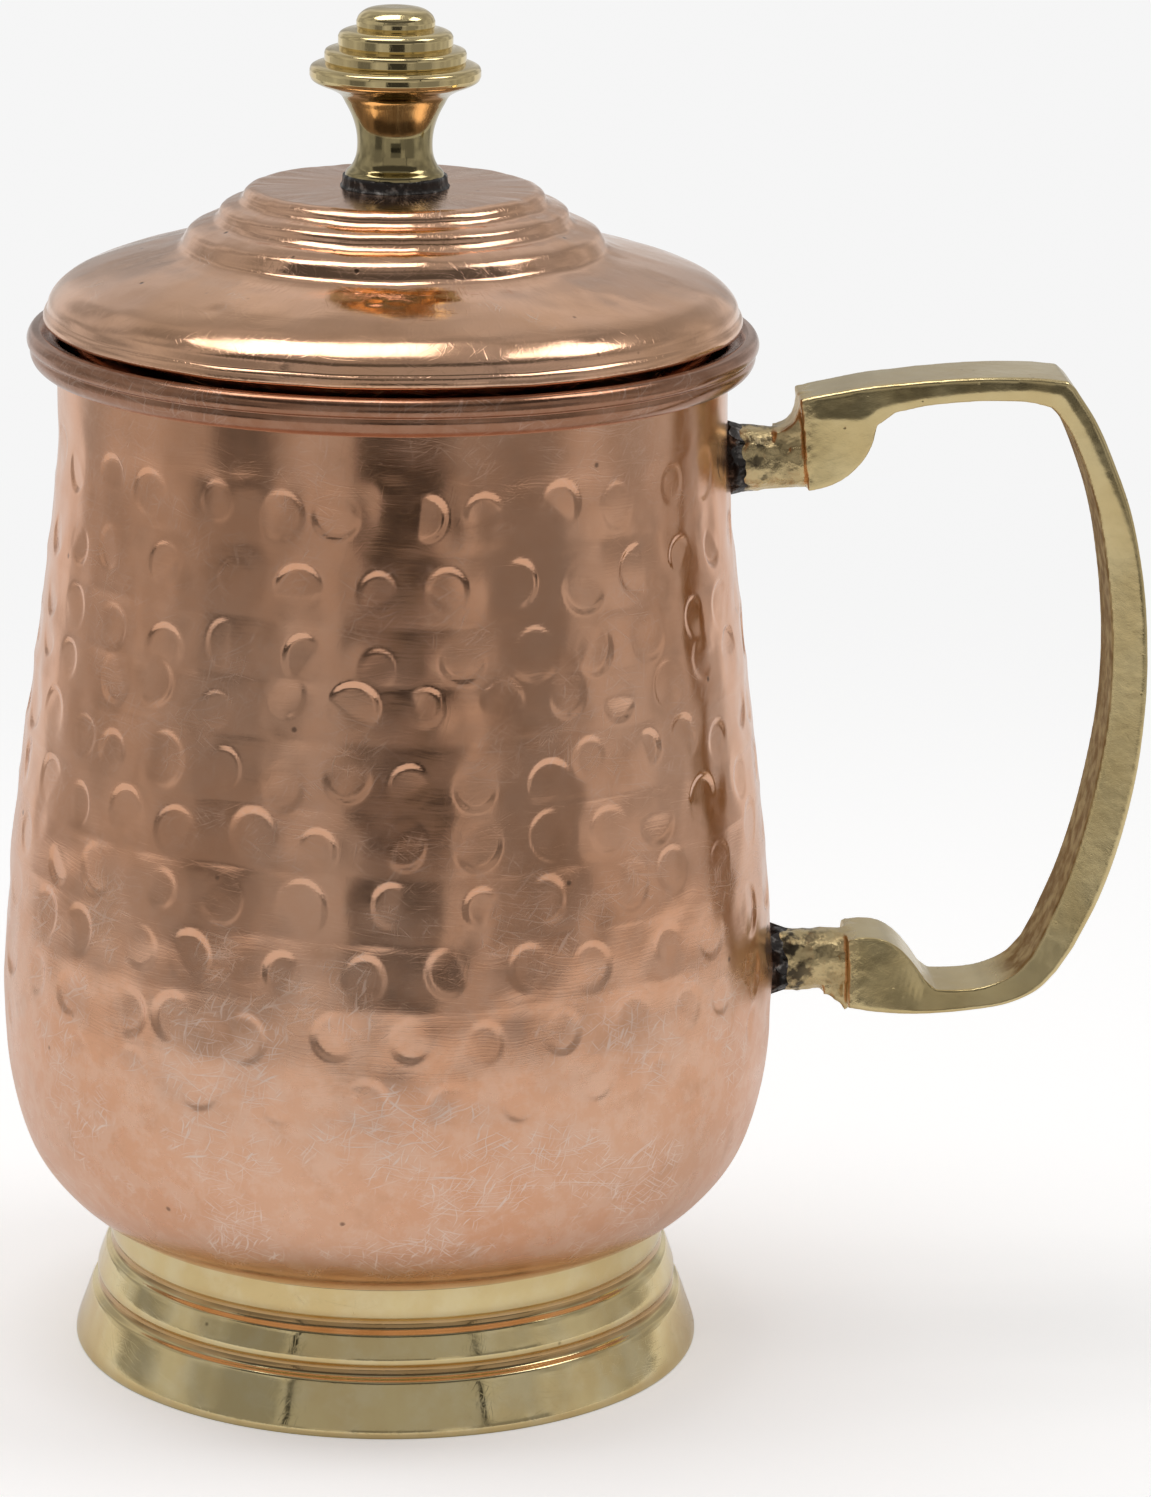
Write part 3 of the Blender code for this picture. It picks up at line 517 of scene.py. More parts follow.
def paint_inside(piece):
    """Give the faces that look at the jug's axis the inside material."""
    faces = piece.data.polygons
    normals = gathered(faces, "normal")
    centres = gathered(faces, "center") - (AXIS_X, 0, 0)
    inward = (normals[:, :2] * centres[:, :2]).sum(1) < 0
    upward = (normals[:, 2] > 0.5) & (centres[:, 2] < 2 * FLOOR_Z * MM)
    below_lip = centres[:, 2] < NECK_TOP_Z * MM
    faces.foreach_set("material_index", ((inward | upward) & below_lip).astype(int))


def build_foot(brass, solder, wire):
    """Foot ring, its solder seam and the wire in the rolled lip."""
    face = chain([FOOT_LOW_TIER, FOOT_LOW_COVE, FOOT_MIDDLE_TIER, FOOT_HIGH_COVE, FOOT_HIGH_TIER], 0.2)
    section = face + FOOT_INSIDE
    angles = turn_angles(ROUND_STEPS)
    shift = 0.02 * waves(41, angles, np.array(section)[:, 1], 70, 20)
    turned("foot_ring", section, ROUND_STEPS, brass, "jug", "brass", shift=shift)
    seam = [(FOOT_INNER_TOP, FLOOR_Z)] + arc(
        (FOOT_INNER_TOP - FOOT_WELD, FLOOR_Z - FOOT_WELD), FOOT_WELD, 90, 0, 9)
    lumps = 0.22 * waves(42, angles, np.array(seam)[:, 1], 14, 3)
    lumps[0] = 0
    turned("foot_solder", seam, ROUND_STEPS, solder, "jug", "solder", shift=lumps)
    ring = arc(RIM_WIRE_CENTRE, RIM_WIRE_RADIUS, 0, 345, 24)
    turned("rim_wire", ring, ROUND_STEPS, wire, "jug", "steel_wire")


def handle_stations(spacing):
    """Outer and inner points, crease share and half depth along the strap."""
    lobe_inner = arc(UPPER_LOBE_CENTRE, UPPER_LOBE_RADIUS, *UPPER_LOBE_ARC, len(UPPER_LOBE_TOP))
    lobe = []
    for top, low in zip(UPPER_LOBE_TOP, lobe_inner):
        share = (top[1] - UPPER_LOBE_CREASE_Z) / (top[1] - low[1])
        lobe.append((*top, *low, min(share, UPPER_LOBE_SHARE)))
    strap = []
    for run in (lobe, HANDLE_TOP_BAR, HANDLE_GRIP, HANDLE_BOTTOM_BAR, LOWER_LOBE):
        if run is HANDLE_GRIP:
            corner = len(strap) - 1
        strap += smooth_path(run, spacing)
    result = []
    for i, point in enumerate(strap):
        if i < corner:
            depth = HANDLE_END_DEPTH + (HANDLE_CORNER_DEPTH - HANDLE_END_DEPTH) * i / corner
        else:
            after = min((i - corner) / (len(strap) / 6), 1.0)
            depth = HANDLE_CORNER_DEPTH + (HANDLE_GRIP_DEPTH - HANDLE_CORNER_DEPTH) * after
        result.append((point[:2], point[2:4], point[4], depth / 2))
    return result


def handle_loop(outer, inner, share, half):
    """Corners of one cross-section of the strap, front side first, in metres."""
    across_strap = Vector(inner) - Vector(outer)
    width = across_strap.length
    step = across_strap / width
    edge = Vector(outer) + step * HANDLE_EDGE
    crease_at = max(share * width, 1.2 * HANDLE_EDGE)
    crease = Vector(outer) + step * crease_at
    fall = CREASE_FALL * (width - crease_at) * min(1.0, CREASE_WIDTH / width)
    front = [(Vector(outer), half - HANDLE_EDGE), (edge, half), (crease, half),
             (Vector(inner), half - fall)]
    loop = [(p.x * MM + AXIS_X, -depth * MM, p.y * MM) for p, depth in front]
    loop += [(p.x * MM + AXIS_X, depth * MM, p.y * MM) for p, depth in reversed(front)]
    return loop


def web_parts(outline):
    """Vertices and faces of a flat web across the strap."""
    return tube([[(x * MM + AXIS_X, side * MM, z * MM) for x, z in outline]
                 for side in (-WEB_HALF, WEB_HALF)])


def rove_section(inner, outer, low, high):
    """Outline of a rove, its free edge broken at the low face."""
    return [(inner, low), (outer - ROVE_EDGE, low), (outer, low + ROVE_EDGE), (outer, high),
            (inner, high)]


def rove_face(height):
    """Where the outer face of a rove rests against the inside of the wall."""
    lowest = min(body_radius(height - ROVE_RADIUS), body_radius(height + ROVE_RADIUS))
    return math.sqrt((lowest - BODY_SHEET) ** 2 - ROVE_RADIUS ** 2)


def stub_section(height, radii, end):
    """Outline of a stub, its tenon through the wall and its peened head."""
    wall = body_radius(height)
    head_face = rove_face(height) - ROVE_THICKNESS
    head = arc((0.0, head_face - 0.2), HEAD_RADIUS, -90, 0, 9)
    peened = [(radius, head_face - 0.2 + (level - head_face + 0.2) * HEAD_THICKNESS / HEAD_RADIUS)
              for radius, level in head]
    peened[0] = (0.0, peened[0][1])
    return peened + [(HEAD_RADIUS, head_face), (TENON_RADIUS, head_face), (TENON_RADIUS, wall - 0.3),
                     (radii[0], wall - 0.3), (radii[0], wall + 2.0), (radii[1], end - 3.5),
                     (radii[1], end), (0.0, end)]


def join_parts(parts):
    """One mesh from several lists of vertices and faces."""
    vertices, faces = [], []
    for more_vertices, more_faces in parts:
        start = len(vertices)
        vertices += more_vertices
        faces += [tuple(start + index for index in face) for face in more_faces]
    return new_mesh(vertices, faces)


def fuse(mesh, voxel, relax):
    """One skin round overlapping solids, relaxed so the edges are broken as on a casting."""
    lump = linked("lump", mesh)
    remesh = lump.modifiers.new("skin", "REMESH")
    remesh.mode = "VOXEL"
    remesh.voxel_size = voxel
    smooth = lump.modifiers.new("relax", "SMOOTH")
    smooth.factor = 0.5
    smooth.iterations = relax
    depsgraph = bpy.context.evaluated_depsgraph_get()
    fused = bpy.data.meshes.new_from_object(lump.evaluated_get(depsgraph))
    bpy.data.objects.remove(lump, do_unlink=True)
    return fused


def bumpy(places, layers):
    """Sum of noise layers at the places; a layer is (size, depth), all in millimetres."""
    total = np.zeros(len(places))
    for size, depth in layers:
        total += depth * np.array([noise.noise(Vector(point)) for point in places / size])
    return total


def roughen(mesh):
    """Give the casting its skin: filed on the strap, left as cast on the stubs."""
    places = gathered(mesh.vertices, "co") / MM
    reach = places[:, 0] - AXIS_X / MM
    stub_end = np.where(places[:, 2] > HANDLE_MIDDLE_Z, UPPER_STUB_REACH, LOWER_STUB_REACH)
    as_cast = 1 - ease(-2, 3, reach - stub_end)
    push = bumpy(places, FILED_SKIN) + as_cast * bumpy(places, CAST_SKIN)
    places += gathered(mesh.vertices, "normal") * push[:, None]
    mesh.vertices.foreach_set("co", (places * MM).ravel())
    mesh.update()


def build_handle(brass):
    """The brass casting: strap, lobes, stubs, webs and tenons in one skin."""
    parts = [tube([handle_loop(*station) for station in handle_stations(1.0)])]
    for height, radii, end in STUBS.values():
        parts.append(spin(stub_section(height, radii, end), STUB_STEPS, level=height))
    parts.append(web_parts(arc(UPPER_WEB_CENTRE, WEB_RADIUS, -88, 0, 12) + UPPER_WEB_CORNERS))
    parts.append(web_parts(arc(LOWER_WEB_CENTRE, WEB_RADIUS, 88, 18, 12) + LOWER_WEB_CORNERS))
    mesh = fuse(join_parts(parts), CASTING_VOXEL, 2)
    roughen(mesh)
    add_piece("handle_casting", mesh, [brass], "jug", 180)


def solder_fillet(name, height, radius, seed, solder):
    """Ragged solder between a stub and the round wall it enters."""
    random = np.random.RandomState(seed)
    wobble = [(random.uniform(0.1, 0.3), k, random.uniform(0, 6.28)) for k in (2, 3, 5, 8, 13)]
    turns = turn_angles(FILLET_STEPS)
    ragged = sum(size * np.sin(k * turns + phase) for size, k, phase in wobble)
    loops = []
    for share in np.linspace(0, 1, FILLET_RINGS):
        bulge = 0.3 * math.sin(math.pi * share)
        out = radius - 0.15 + bulge + (0.9 + 0.4 * ragged) * (1 - share) ** 2.5
        y = out * np.cos(turns)
        z = height + out * np.sin(turns)
        wall = np.sqrt(body_radius(z) ** 2 - y * y)
        lift = -0.2 + (SOLDER_REACH + 0.2 + 0.5 * ragged) * share
        loops.append((np.stack([wall + lift + AXIS_X / MM, y, z], axis=1) * MM).tolist())
    add_piece(name, new_mesh(*tube(loops, False)), [solder], "jug", 180)


def build_fasteners(brass, solder):
    """Roves inside the wall and solder round the stubs outside it."""
    for seed, (key, (height, radii, _)) in enumerate(STUBS.items()):
        face = rove_face(height)
        rove = rove_section(TENON_RADIUS, ROVE_RADIUS, face - ROVE_THICKNESS, face)
        turned("handle_rove_" + key, rove, STUB_STEPS, brass, "jug", "brass", level=height)
        solder_fillet("handle_solder_" + key, height, radii[0], 60 + seed, solder)


def lid_path(spacing):
    """Top face of the lid from its middle out to the hem."""
    top = [(0.01, LID_TOP_Z), (8.0, LID_TOP_Z), LID_TOP[0]]
    return chain([top, LID_TOP, LID_FIRST_STEP, LID_SECOND_STEP, LID_DOME], spacing)


def lid_under_z(radius):
    """Height of the lid's underside at a radius."""
    under = offset_path(lid_path(0.5), -LID_SHEET)
    return float(np.interp(radius, [p[0] for p in under], [p[1] for p in under]))


def build_lid(copper, brass, solder):
    """Lid sheet with its hem, locating collar, knob and their joints."""
    face = lid_path(0.3)
    under = offset_path(face, -LID_SHEET)
    face[0] = (0.0, LID_TOP_Z)
    under[0] = (0.0, LID_TOP_Z - LID_SHEET)
    section = face + chain([LID_HEM], 0.2)[1:] + under[::-1]
    angles = turn_angles(ROUND_STEPS)
    reach = np.array(section)[:, 0]
    lift = 0.06 * waves(51, angles, reach, 60, 12) + 0.015 * waves(53, angles, reach, 12, 5)
    lift *= ease(8, 24, reach)[:, None]
    for turn, radius, size, depth in LID_DINGS:
        away = (angles - math.radians(turn - 90) + math.pi) % (2 * math.pi) - math.pi
        distance = np.hypot(away[None, :] * radius, (reach - radius)[:, None])
        lift -= depth * np.exp(-(distance / size) ** 2)
    turned("lid_shell", section, ROUND_STEPS, copper, "lid", "copper", lift=lift)
    inner = COLLAR_RADIUS - COLLAR_SHEET
    inner_top = lid_under_z(inner)
    collar = [(inner, COLLAR_BOTTOM_Z + COLLAR_EDGE), (inner + COLLAR_EDGE, COLLAR_BOTTOM_Z),
              (COLLAR_RADIUS - COLLAR_EDGE, COLLAR_BOTTOM_Z),
              (COLLAR_RADIUS, COLLAR_BOTTOM_Z + COLLAR_EDGE),
              (COLLAR_RADIUS, lid_under_z(COLLAR_RADIUS)), (inner, inner_top)]
    turned("lid_collar", collar, ROUND_STEPS, copper, "lid", "copper")
    far = inner - COLLAR_SEAM
    seam = [(inner, inner_top), (far, lid_under_z(far)),
            (inner - 0.45 * COLLAR_SEAM, inner_top - 0.3 * COLLAR_SEAM),
            (inner, inner_top - COLLAR_SEAM)]
    seam = chain([seam[:2], seam[1:], [seam[3], seam[0]]], 0.3)[:-1]
    lumps = 0.15 * waves(52, angles, np.array(seam)[:, 1], 12, 3)
    turned("lid_collar_solder", seam, ROUND_STEPS, solder, "lid", "solder", shift=lumps)
    build_knob(brass, solder)


def build_knob(brass, solder):
    """Turned knob with its tang, the solder at its base and the rove under the lid."""
    rove_top = LID_TOP_Z - LID_SHEET
    rove_low = rove_top - KNOB_ROVE_THICKNESS
    head_low = rove_low - TANG_HEAD_THICKNESS
    tang = [(TANG_RADIUS, LID_TOP_Z), (TANG_RADIUS, rove_low), (TANG_HEAD_RADIUS, rove_low),
            (TANG_HEAD_RADIUS - 0.3, head_low + 0.35), (TANG_HEAD_RADIUS - 1.4, head_low),
            (0.0, head_low - 0.05)]
    turned("knob", chain(KNOB_RUNS, 0.1) + tang, SMALL_STEPS, brass, "lid", "brass")
    angles = turn_angles(SMALL_STEPS)
    bead = chain([KNOB_SOLDER], 0.15)
    lumps = 0.08 * ragged_ring(angles, len(bead), 71)
    lumps = np.vstack([lumps, np.zeros((len(KNOB_SOLDER_INSIDE), SMALL_STEPS))])
    turned("knob_solder", bead + KNOB_SOLDER_INSIDE, SMALL_STEPS, solder, "lid", "solder", shift=lumps)
    rove = rove_section(TANG_RADIUS, KNOB_ROVE_RADIUS, rove_low, rove_top)
    turned("knob_rove", rove, SMALL_STEPS, brass, "lid", "brass")


def ragged_ring(angles, rows, seed):
    """Random lumps round a small ring, one row per point of its section."""
    random = np.random.RandomState(seed)
    lumps = np.zeros((rows, len(angles)))
    for around in (2, 3, 5, 7, 11, 16, 23):
        phase = random.uniform(0, 2 * math.pi)
        drift = random.uniform(-2, 2)
        level = np.linspace(0, 1, rows)[:, None]
        lumps += random.uniform(0.3, 0.8) * np.sin(around * angles[None, :] + phase + drift * level)
    return lumps


def connect(source, target):
    """Link an output socket to an input of the same tree."""
    source.id_data.links.new(source, target)


def add(kind, settings=None, tree=None, **inputs):
    """Add a shader node; inputs are sockets to link or values to set.

    The node joins the tree of the sockets linked to it; without any, its tree is given.
    """
    sources = [value for value in inputs.values() if isinstance(value, bpy.types.NodeSocket)]
    tree = sources[0].id_data if sources else tree
    made = tree.nodes.new("ShaderNode" + kind)
    for key, value in (settings or {}).items():
        setattr(made, key, value)
    for key, value in inputs.items():
        socket = made.inputs[int(key[1:])] if key[1:].isdigit() else made.inputs[key.replace("_", " ")]
        if isinstance(value, bpy.types.NodeSocket):
            connect(value, socket)
        else:
            socket.default_value = (*value, 1.0) if socket.type == "RGBA" else value
    return made


def maths(operation, first, second=0.0):
    """Result of one arithmetic step."""
    return add("Math", {"operation": operation}, _0=first, _1=second).outputs[0]


def times(first, second):
    """Product of two values."""
    return maths("MULTIPLY", first, second)


def raised(value, mask, amount):
    """Value raised by amount where the mask is 1."""
    return add("Math", {"operation": "MULTIPLY_ADD"}, _0=mask, _1=amount, _2=value).outputs[0]


def spread(value, low, high, to_low=0.0, to_high=1.0):
    """Value mapped smoothly from one range to another."""
    made = add("MapRange", {"interpolation_type": "SMOOTHSTEP"}, Value=value, From_Min=low,
               From_Max=high, To_Min=to_low, To_Max=to_high)
    return made.outputs["Result"]


def blend(share, first, second):
    """Colour mixed from first to second by share."""
    return add("Mix", {"data_type": "RGBA"}, _0=share, _6=first, _7=second).outputs[2]


def grain(place, size, detail=3.0, roughness=0.55):
    """Noise value with features of the given size in metres."""
    made = add("TexNoise", Vector=place, Scale=1 / size, Detail=detail, Roughness=roughness)
    return made.outputs[0]


def mottled(place, size, first, second, edges=(0.35, 0.7), detail=5.0):
    """Colour drifting between two tones in patches; edges are as spread takes them."""
    return blend(spread(grain(place, size, detail), *edges), first, second)


def tinted(colour, mask, strength, tone):
    """Colour drawn towards a tone, by strength where the mask is 1."""
    return blend(times(mask, strength), colour, tone)


def patchy(place, size, low, high):
    """Roughness drifting between low and high in patches."""
    return spread(grain(place, size, 5.0), 0.3, 0.75, low, high)


def round_place(place):
    """The place unrolled round the jug's axis, its height and its radius."""
    split = add("SeparateXYZ", Vector=place)
    x = maths("SUBTRACT", split.outputs[0], AXIS_X)
    y = split.outputs[1]
    radius = maths("POWER", raised(times(x, x), y, y), 0.5)
    turn = maths("ARCTAN2", y, times(x, -1.0))
    length = times(turn, UNROLL_RADIUS * MM)
    unrolled = add("CombineXYZ", X=length, Y=split.outputs[2], Z=radius).outputs[0]
    return unrolled, split.outputs[2], radius


def streaks(place, turn, stretch, detail):
    """Noise drawn out to the stretch in metres, turned about each axis in degrees."""
    drawn = add("Mapping", {"vector_type": "TEXTURE"}, Vector=place, Scale=stretch,
                Rotation=[-math.radians(angle) for angle in turn]).outputs[0]
    return add("TexNoise", Vector=drawn, Scale=1.0, Detail=detail).outputs[0]


def scratches(place, turn, long, thin, low, high):
    """Nearly straight fine scratches at one angle: 1 in a scratch, 0 outside."""
    drift = add("TexNoise", Vector=place, Scale=120.0 + turn, Detail=1.0).outputs[1]
    bent = add("VectorMath", {"operation": "MULTIPLY_ADD"}, _0=drift, _1=(0.003, 0.003, 0.0),
               _2=place).outputs[0]
    return spread(streaks(bent, (0, 0, turn), (long, thin, long), 1.0), low, high)


def rings(height, radius, pitch):
    """Fine tool rings left by turning, from height and radius."""
    joined = add("CombineXYZ", X=0.0, Y=height, Z=radius).outputs[0]
    return grain(joined, pitch, 2.0, 0.7)


def start_material(name, metallic=1.0):
    """A material, its main shader and the place on the jug, in metres."""
    made = bpy.data.materials.new(name)
    made.use_nodes = True
    shader = made.node_tree.nodes["Principled BSDF"]
    shader.inputs["Metallic"].default_value = metallic
    return made, shader, add("TexCoord", tree=made.node_tree).outputs["Object"]


def finished(made, shader, colour, roughness, bumps):
    """The material with its colour, roughness and (height, depth in metres) bumps."""
    connect(colour, shader.inputs["Base Color"])
    connect(roughness, shader.inputs["Roughness"])
    normal = None
    for height, depth in bumps:
        bump = add("Bump", Height=height, Distance=depth, Strength=1.0)
        if normal is not None:
            connect(normal, bump.inputs["Normal"])
        normal = bump.outputs[0]
    connect(normal, shader.inputs["Normal"])
    return made


def scuffed(place, unrolled, patch_size, amount):
    """Pale scuffs: scratches in several directions, gathered in patches."""
    patches = spread(grain(place, patch_size), 0.62 - amount, 0.72 - amount)
    lines = None
    for turn, long, thin in ((25, 0.006, 0.00026), (-38, 0.004, 0.00024), (80, 0.005, 0.0003),
                             (-8, 0.01, 0.00018), (55, 0.003, 0.00036)):
        more = scratches(unrolled, turn, long, thin, 0.62, 0.74)
        lines = more if lines is None else maths("MAXIMUM", lines, more)
    return times(lines, patches), lines


def pits(place, size, share):
    """Small dark pits: 1 in a pit, 0 outside."""
    cells = add("TexVoronoi", Vector=place, Scale=1 / size)
    lot = add("SeparateColor", Color=cells.outputs["Color"]).outputs[0]
    chosen = spread(lot, 1 - share, 1 - share + 0.02)
    near = spread(cells.outputs["Distance"], 0.05, 0.16, 1.0, 0.0)
    return times(chosen, near)


def hammered_copper():
    """Polished copper, dark on the lip, filmed and scuffed where the jug bulges."""
    made, shader, place = start_material("copper_hammered")
    unrolled, height, _ = round_place(place)
    colour = mottled(place, 0.03, (0.77, 0.40, 0.235), (0.79, 0.455, 0.295), detail=4.0)
    colour = mottled(place, 0.009, colour, (0.58, 0.30, 0.17), (0.53, 0.75, 0.0, 0.5))
    rolled = spread(height, (NECK_TOP_Z - 1.5) * MM, (NECK_TOP_Z - 0.5) * MM)
    colour = tinted(colour, rolled, 0.9, (0.30, 0.14, 0.08))
    patched, lines = scuffed(place, unrolled, 0.012, 0.15)
    bulge = times(spread(height, 0.045, 0.09, 1.0, 0.2), spread(height, 0.0225, 0.029))
    pale = times(patched, bulge)
    film = spread(grain(place, 0.004, 8.0, 0.7), 0.42, 0.6, 0.1, 0.45)
    colour = tinted(colour, film, bulge, (0.86, 0.60, 0.46))
    colour = tinted(colour, pale, 0.7, (0.95, 0.80, 0.71))
    colour = tinted(colour, pits(place, 0.0035, 0.05), 0.7, (0.12, 0.07, 0.05))
    rough = patchy(place, 0.012, 0.10, 0.22)
    rough = raised(raised(rough, bulge, 0.16), pale, 0.22)
    brushed = scratches(unrolled, 0, 0.012, 0.0003, 0.3, 0.7)
    bumps = [(brushed, 3e-6), (lines, 2.5e-6), (grain(place, 0.0035), 8e-6)]
    return finished(made, shader, colour, rough, bumps)


def inside_copper():
    """The duller, unpolished inside of the jug."""
    made, shader, place = start_material("copper_inside")
    _, height, _ = round_place(place)
    colour = mottled(place, 0.02, (0.72, 0.40, 0.27), (0.55, 0.29, 0.18), (0.3, 0.75))
    colour = tinted(colour, pits(place, 0.004, 0.15), 0.7, (0.15, 0.08, 0.06))
    rough = patchy(place, 0.01, 0.24, 0.42)
    bumps = [(rings(height, 0.0, 0.0007), 5e-6), (grain(place, 0.003), 1e-5)]
    return finished(made, shader, colour, rough, bumps)


def lid_copper():
    """Spun and polished copper with turning rings, fine scratches, pits and stains."""
    made, shader, place = start_material("copper_spun")
    unrolled, height, radius = round_place(place)
    colour = mottled(place, 0.025, (0.79, 0.46, 0.28), (0.80, 0.49, 0.33), detail=4.0)
    colour = mottled(place, 0.007, colour, (0.60, 0.33, 0.19), (0.6, 0.8, 0.0, 0.5))
    patched, lines = scuffed(place, unrolled, 0.015, 0.02)
    colour = tinted(colour, patched, 0.6, (0.9, 0.72, 0.6))
    dots = pits(place, 0.003, 0.12)
    colour = tinted(colour, dots, 0.8, (0.12, 0.07, 0.05))
    rough = raised(patchy(place, 0.009, 0.08, 0.20), patched, 0.2)
    bumps = [(rings(height, radius, 0.0006), 7e-6), (lines, 5e-6), (dots, -3e-5),
             (grain(place, 0.004), 1.8e-5)]
    return finished(made, shader, colour, rough, bumps)


def turned_brass(name, low_rough, high_rough, tool_depth, cloudy, browned_below=0.0):
    """Turned brass with tool rings, clouded by a share and browned below a height, with a painted
    reflection of the copper body in the foot's coves.
    """
    made, shader, place = start_material(name)
    unrolled, height, radius = round_place(place)
    colour = mottled(place, 0.012, (0.77, 0.62, 0.32), (0.72, 0.55, 0.27))
    patched, lines = scuffed(place, unrolled, 0.012, 0.05)
    colour = mottled(place, 0.005, colour, (0.82, 0.72, 0.47), (0.4, 0.7, 0.0, cloudy), 6.0)
    colour = tinted(colour, pits(place, 0.003, 0.1), 0.7, (0.15, 0.11, 0.05))
    browned = spread(height, (browned_below - 0.5) * MM, (browned_below + 0.5) * MM, 0.75, 0.0)
    colour = blend(browned, colour, (0.29, 0.24, 0.12))
    # Painted reflection: the coves of the foot face up to the copper body, so a copper-orange band is
    # painted into their colour.
    for groove in COVE_REFLECTION_HEIGHTS:
        copper_reflection = window(height, (groove - 0.4) * MM, (groove + 0.4) * MM, 0.4 * MM)
        colour = tinted(colour, copper_reflection, 0.6, (0.42, 0.19, 0.06))
    rough = raised(patchy(place, 0.006, low_rough, high_rough), patched, cloudy * 0.4)
    bumps = [(rings(height, radius, 0.0004), tool_depth), (lines, tool_depth),
             (grain(place, 0.003), tool_depth * 3)]
    return finished(made, shader, colour, rough, bumps)


def cast_brass():
    """Filed and brushed sand casting, rough on the stubs and brown on the grip's inner side."""
    made, shader, place = start_material("brass_cast")
    split = add("SeparateXYZ", Vector=place)
    below = maths("LESS_THAN", split.outputs[2], HANDLE_MIDDLE_Z * MM)
    past = raised(split.outputs[0], below, (UPPER_STUB_REACH - LOWER_STUB_REACH) * MM)
    stub_end = AXIS_X + UPPER_STUB_REACH * MM
    stub = spread(past, stub_end - 0.001, stub_end + 0.002, 1.0, 0.0)
    colour = mottled(place, 0.01, (0.72, 0.58, 0.31), (0.66, 0.51, 0.25))
    colour = tinted(colour, stub, 0.35, (0.5, 0.36, 0.2))
    near_wall = spread(past, stub_end - 0.009, stub_end + 0.001, 0.95, 0.0)
    sooted = spread(grain(place, 0.0025, 4.0), 0.46, 0.6)
    colour = tinted(colour, near_wall, sooted, (0.05, 0.04, 0.03))
    geometry = add("NewGeometry", tree=made.node_tree)
    normal = add("SeparateXYZ", Vector=geometry.outputs["Normal"])
    inner_side = times(spread(normal.outputs[0], -0.7, -0.2, 1.0, 0.0),
                       spread(split.outputs[0], AXIS_X + 0.08, AXIS_X + 0.09))
    worn = spread(grain(place, 0.0025, 6.0), 0.35, 0.7, 0.95, 0.35)
    colour = tinted(colour, inner_side, worn, (0.27, 0.16, 0.06))
    holes = pits(place, 0.0016, 0.08)
    colour = tinted(colour, holes, 0.7, (0.2, 0.15, 0.07))
    files = None
    for turn, long, thin in ((20, 0.012, 0.0002), (-30, 0.008, 0.00018), (75, 0.01, 0.0002)):
        more = streaks(place, (0, turn, 0), (long, thin, thin), 2.0)
        files = more if files is None else maths("MAXIMUM", files, more)
    rough = patchy(place, 0.006, 0.16, 0.27)
    rough = raised(raised(rough, stub, 0.1), inner_side, 0.25)
    connect(raised(1.0, inner_side, -0.8), shader.inputs["Metallic"])
    shader.inputs["Specular IOR Level"].default_value = 0.0
    rougher = maths("ADD", maths("MAXIMUM", stub, inner_side), 0.06)
    skin = times(grain(place, 0.0009, 4.0), rougher)
    bumps = [(files, 8e-6), (skin, 1.6e-4), (holes, -6e-5), (grain(place, 0.003, 4.0), 2e-5)]
    return finished(made, shader, colour, rough, bumps)


def dark_solder():
    """Dark, lumpy solder with brighter worn spots."""
    made, shader, place = start_material("solder_dark", 0.85)
    colour = mottled(place, 0.0012, (0.045, 0.04, 0.038), (0.30, 0.28, 0.26), (0.5, 0.75))
    rough = spread(grain(place, 0.002, 4.0), 0.3, 0.7, 0.3, 0.55)
    return finished(made, shader, colour, rough, [(grain(place, 0.0008, 4.0), 1.5e-4)])


def iron():
    """Drawn iron wire with a little rust."""
    made, shader, place = start_material("iron_wire")
    colour = mottled(place, 0.003, (0.42, 0.41, 0.39), (0.28, 0.15, 0.08), (0.55, 0.75))
    rough = spread(grain(place, 0.001, 4.0), 0.3, 0.7, 0.35, 0.6)
    return finished(made, shader, colour, rough, [(grain(place, 0.0006), 3e-5)])


def camera_axes():
    """Level directions to the camera's right and from the jug towards the camera."""
    turn = math.radians(HANDLE_TURN)
    towards = Vector((-math.sin(turn), -math.cos(turn), 0))
    right = Vector((math.cos(turn), -math.sin(turn), 0))
    return right, towards


def build_camera():
    """Camera at the viewing angle of the reference view, with the handle on the right."""
    right, towards = camera_axes()
    data = bpy.data.cameras.new("camera")
    data.sensor_fit = "HORIZONTAL"
    data.sensor_width = SENSOR
    data.lens = SENSOR * FOCAL_WIDTHS
    data.clip_start = 0.01
    camera = linked("camera", data)
    camera.location = Vector((AXIS_X, 0, CAMERA_HEIGHT)) + towards * CAMERA_DISTANCE
    yaw, pitch = math.radians(CAMERA_YAW), math.radians(CAMERA_PITCH)
    look = (-towards * math.cos(yaw) + right * math.sin(yaw)) * math.cos(pitch)
    look.z = -math.sin(pitch)
    turn = look.to_track_quat("-Z", "Y") @ Quaternion((0, 0, 1), math.radians(CAMERA_ROLL))
    camera.rotation_euler = turn.to_euler()
    bpy.context.scene.camera = camera


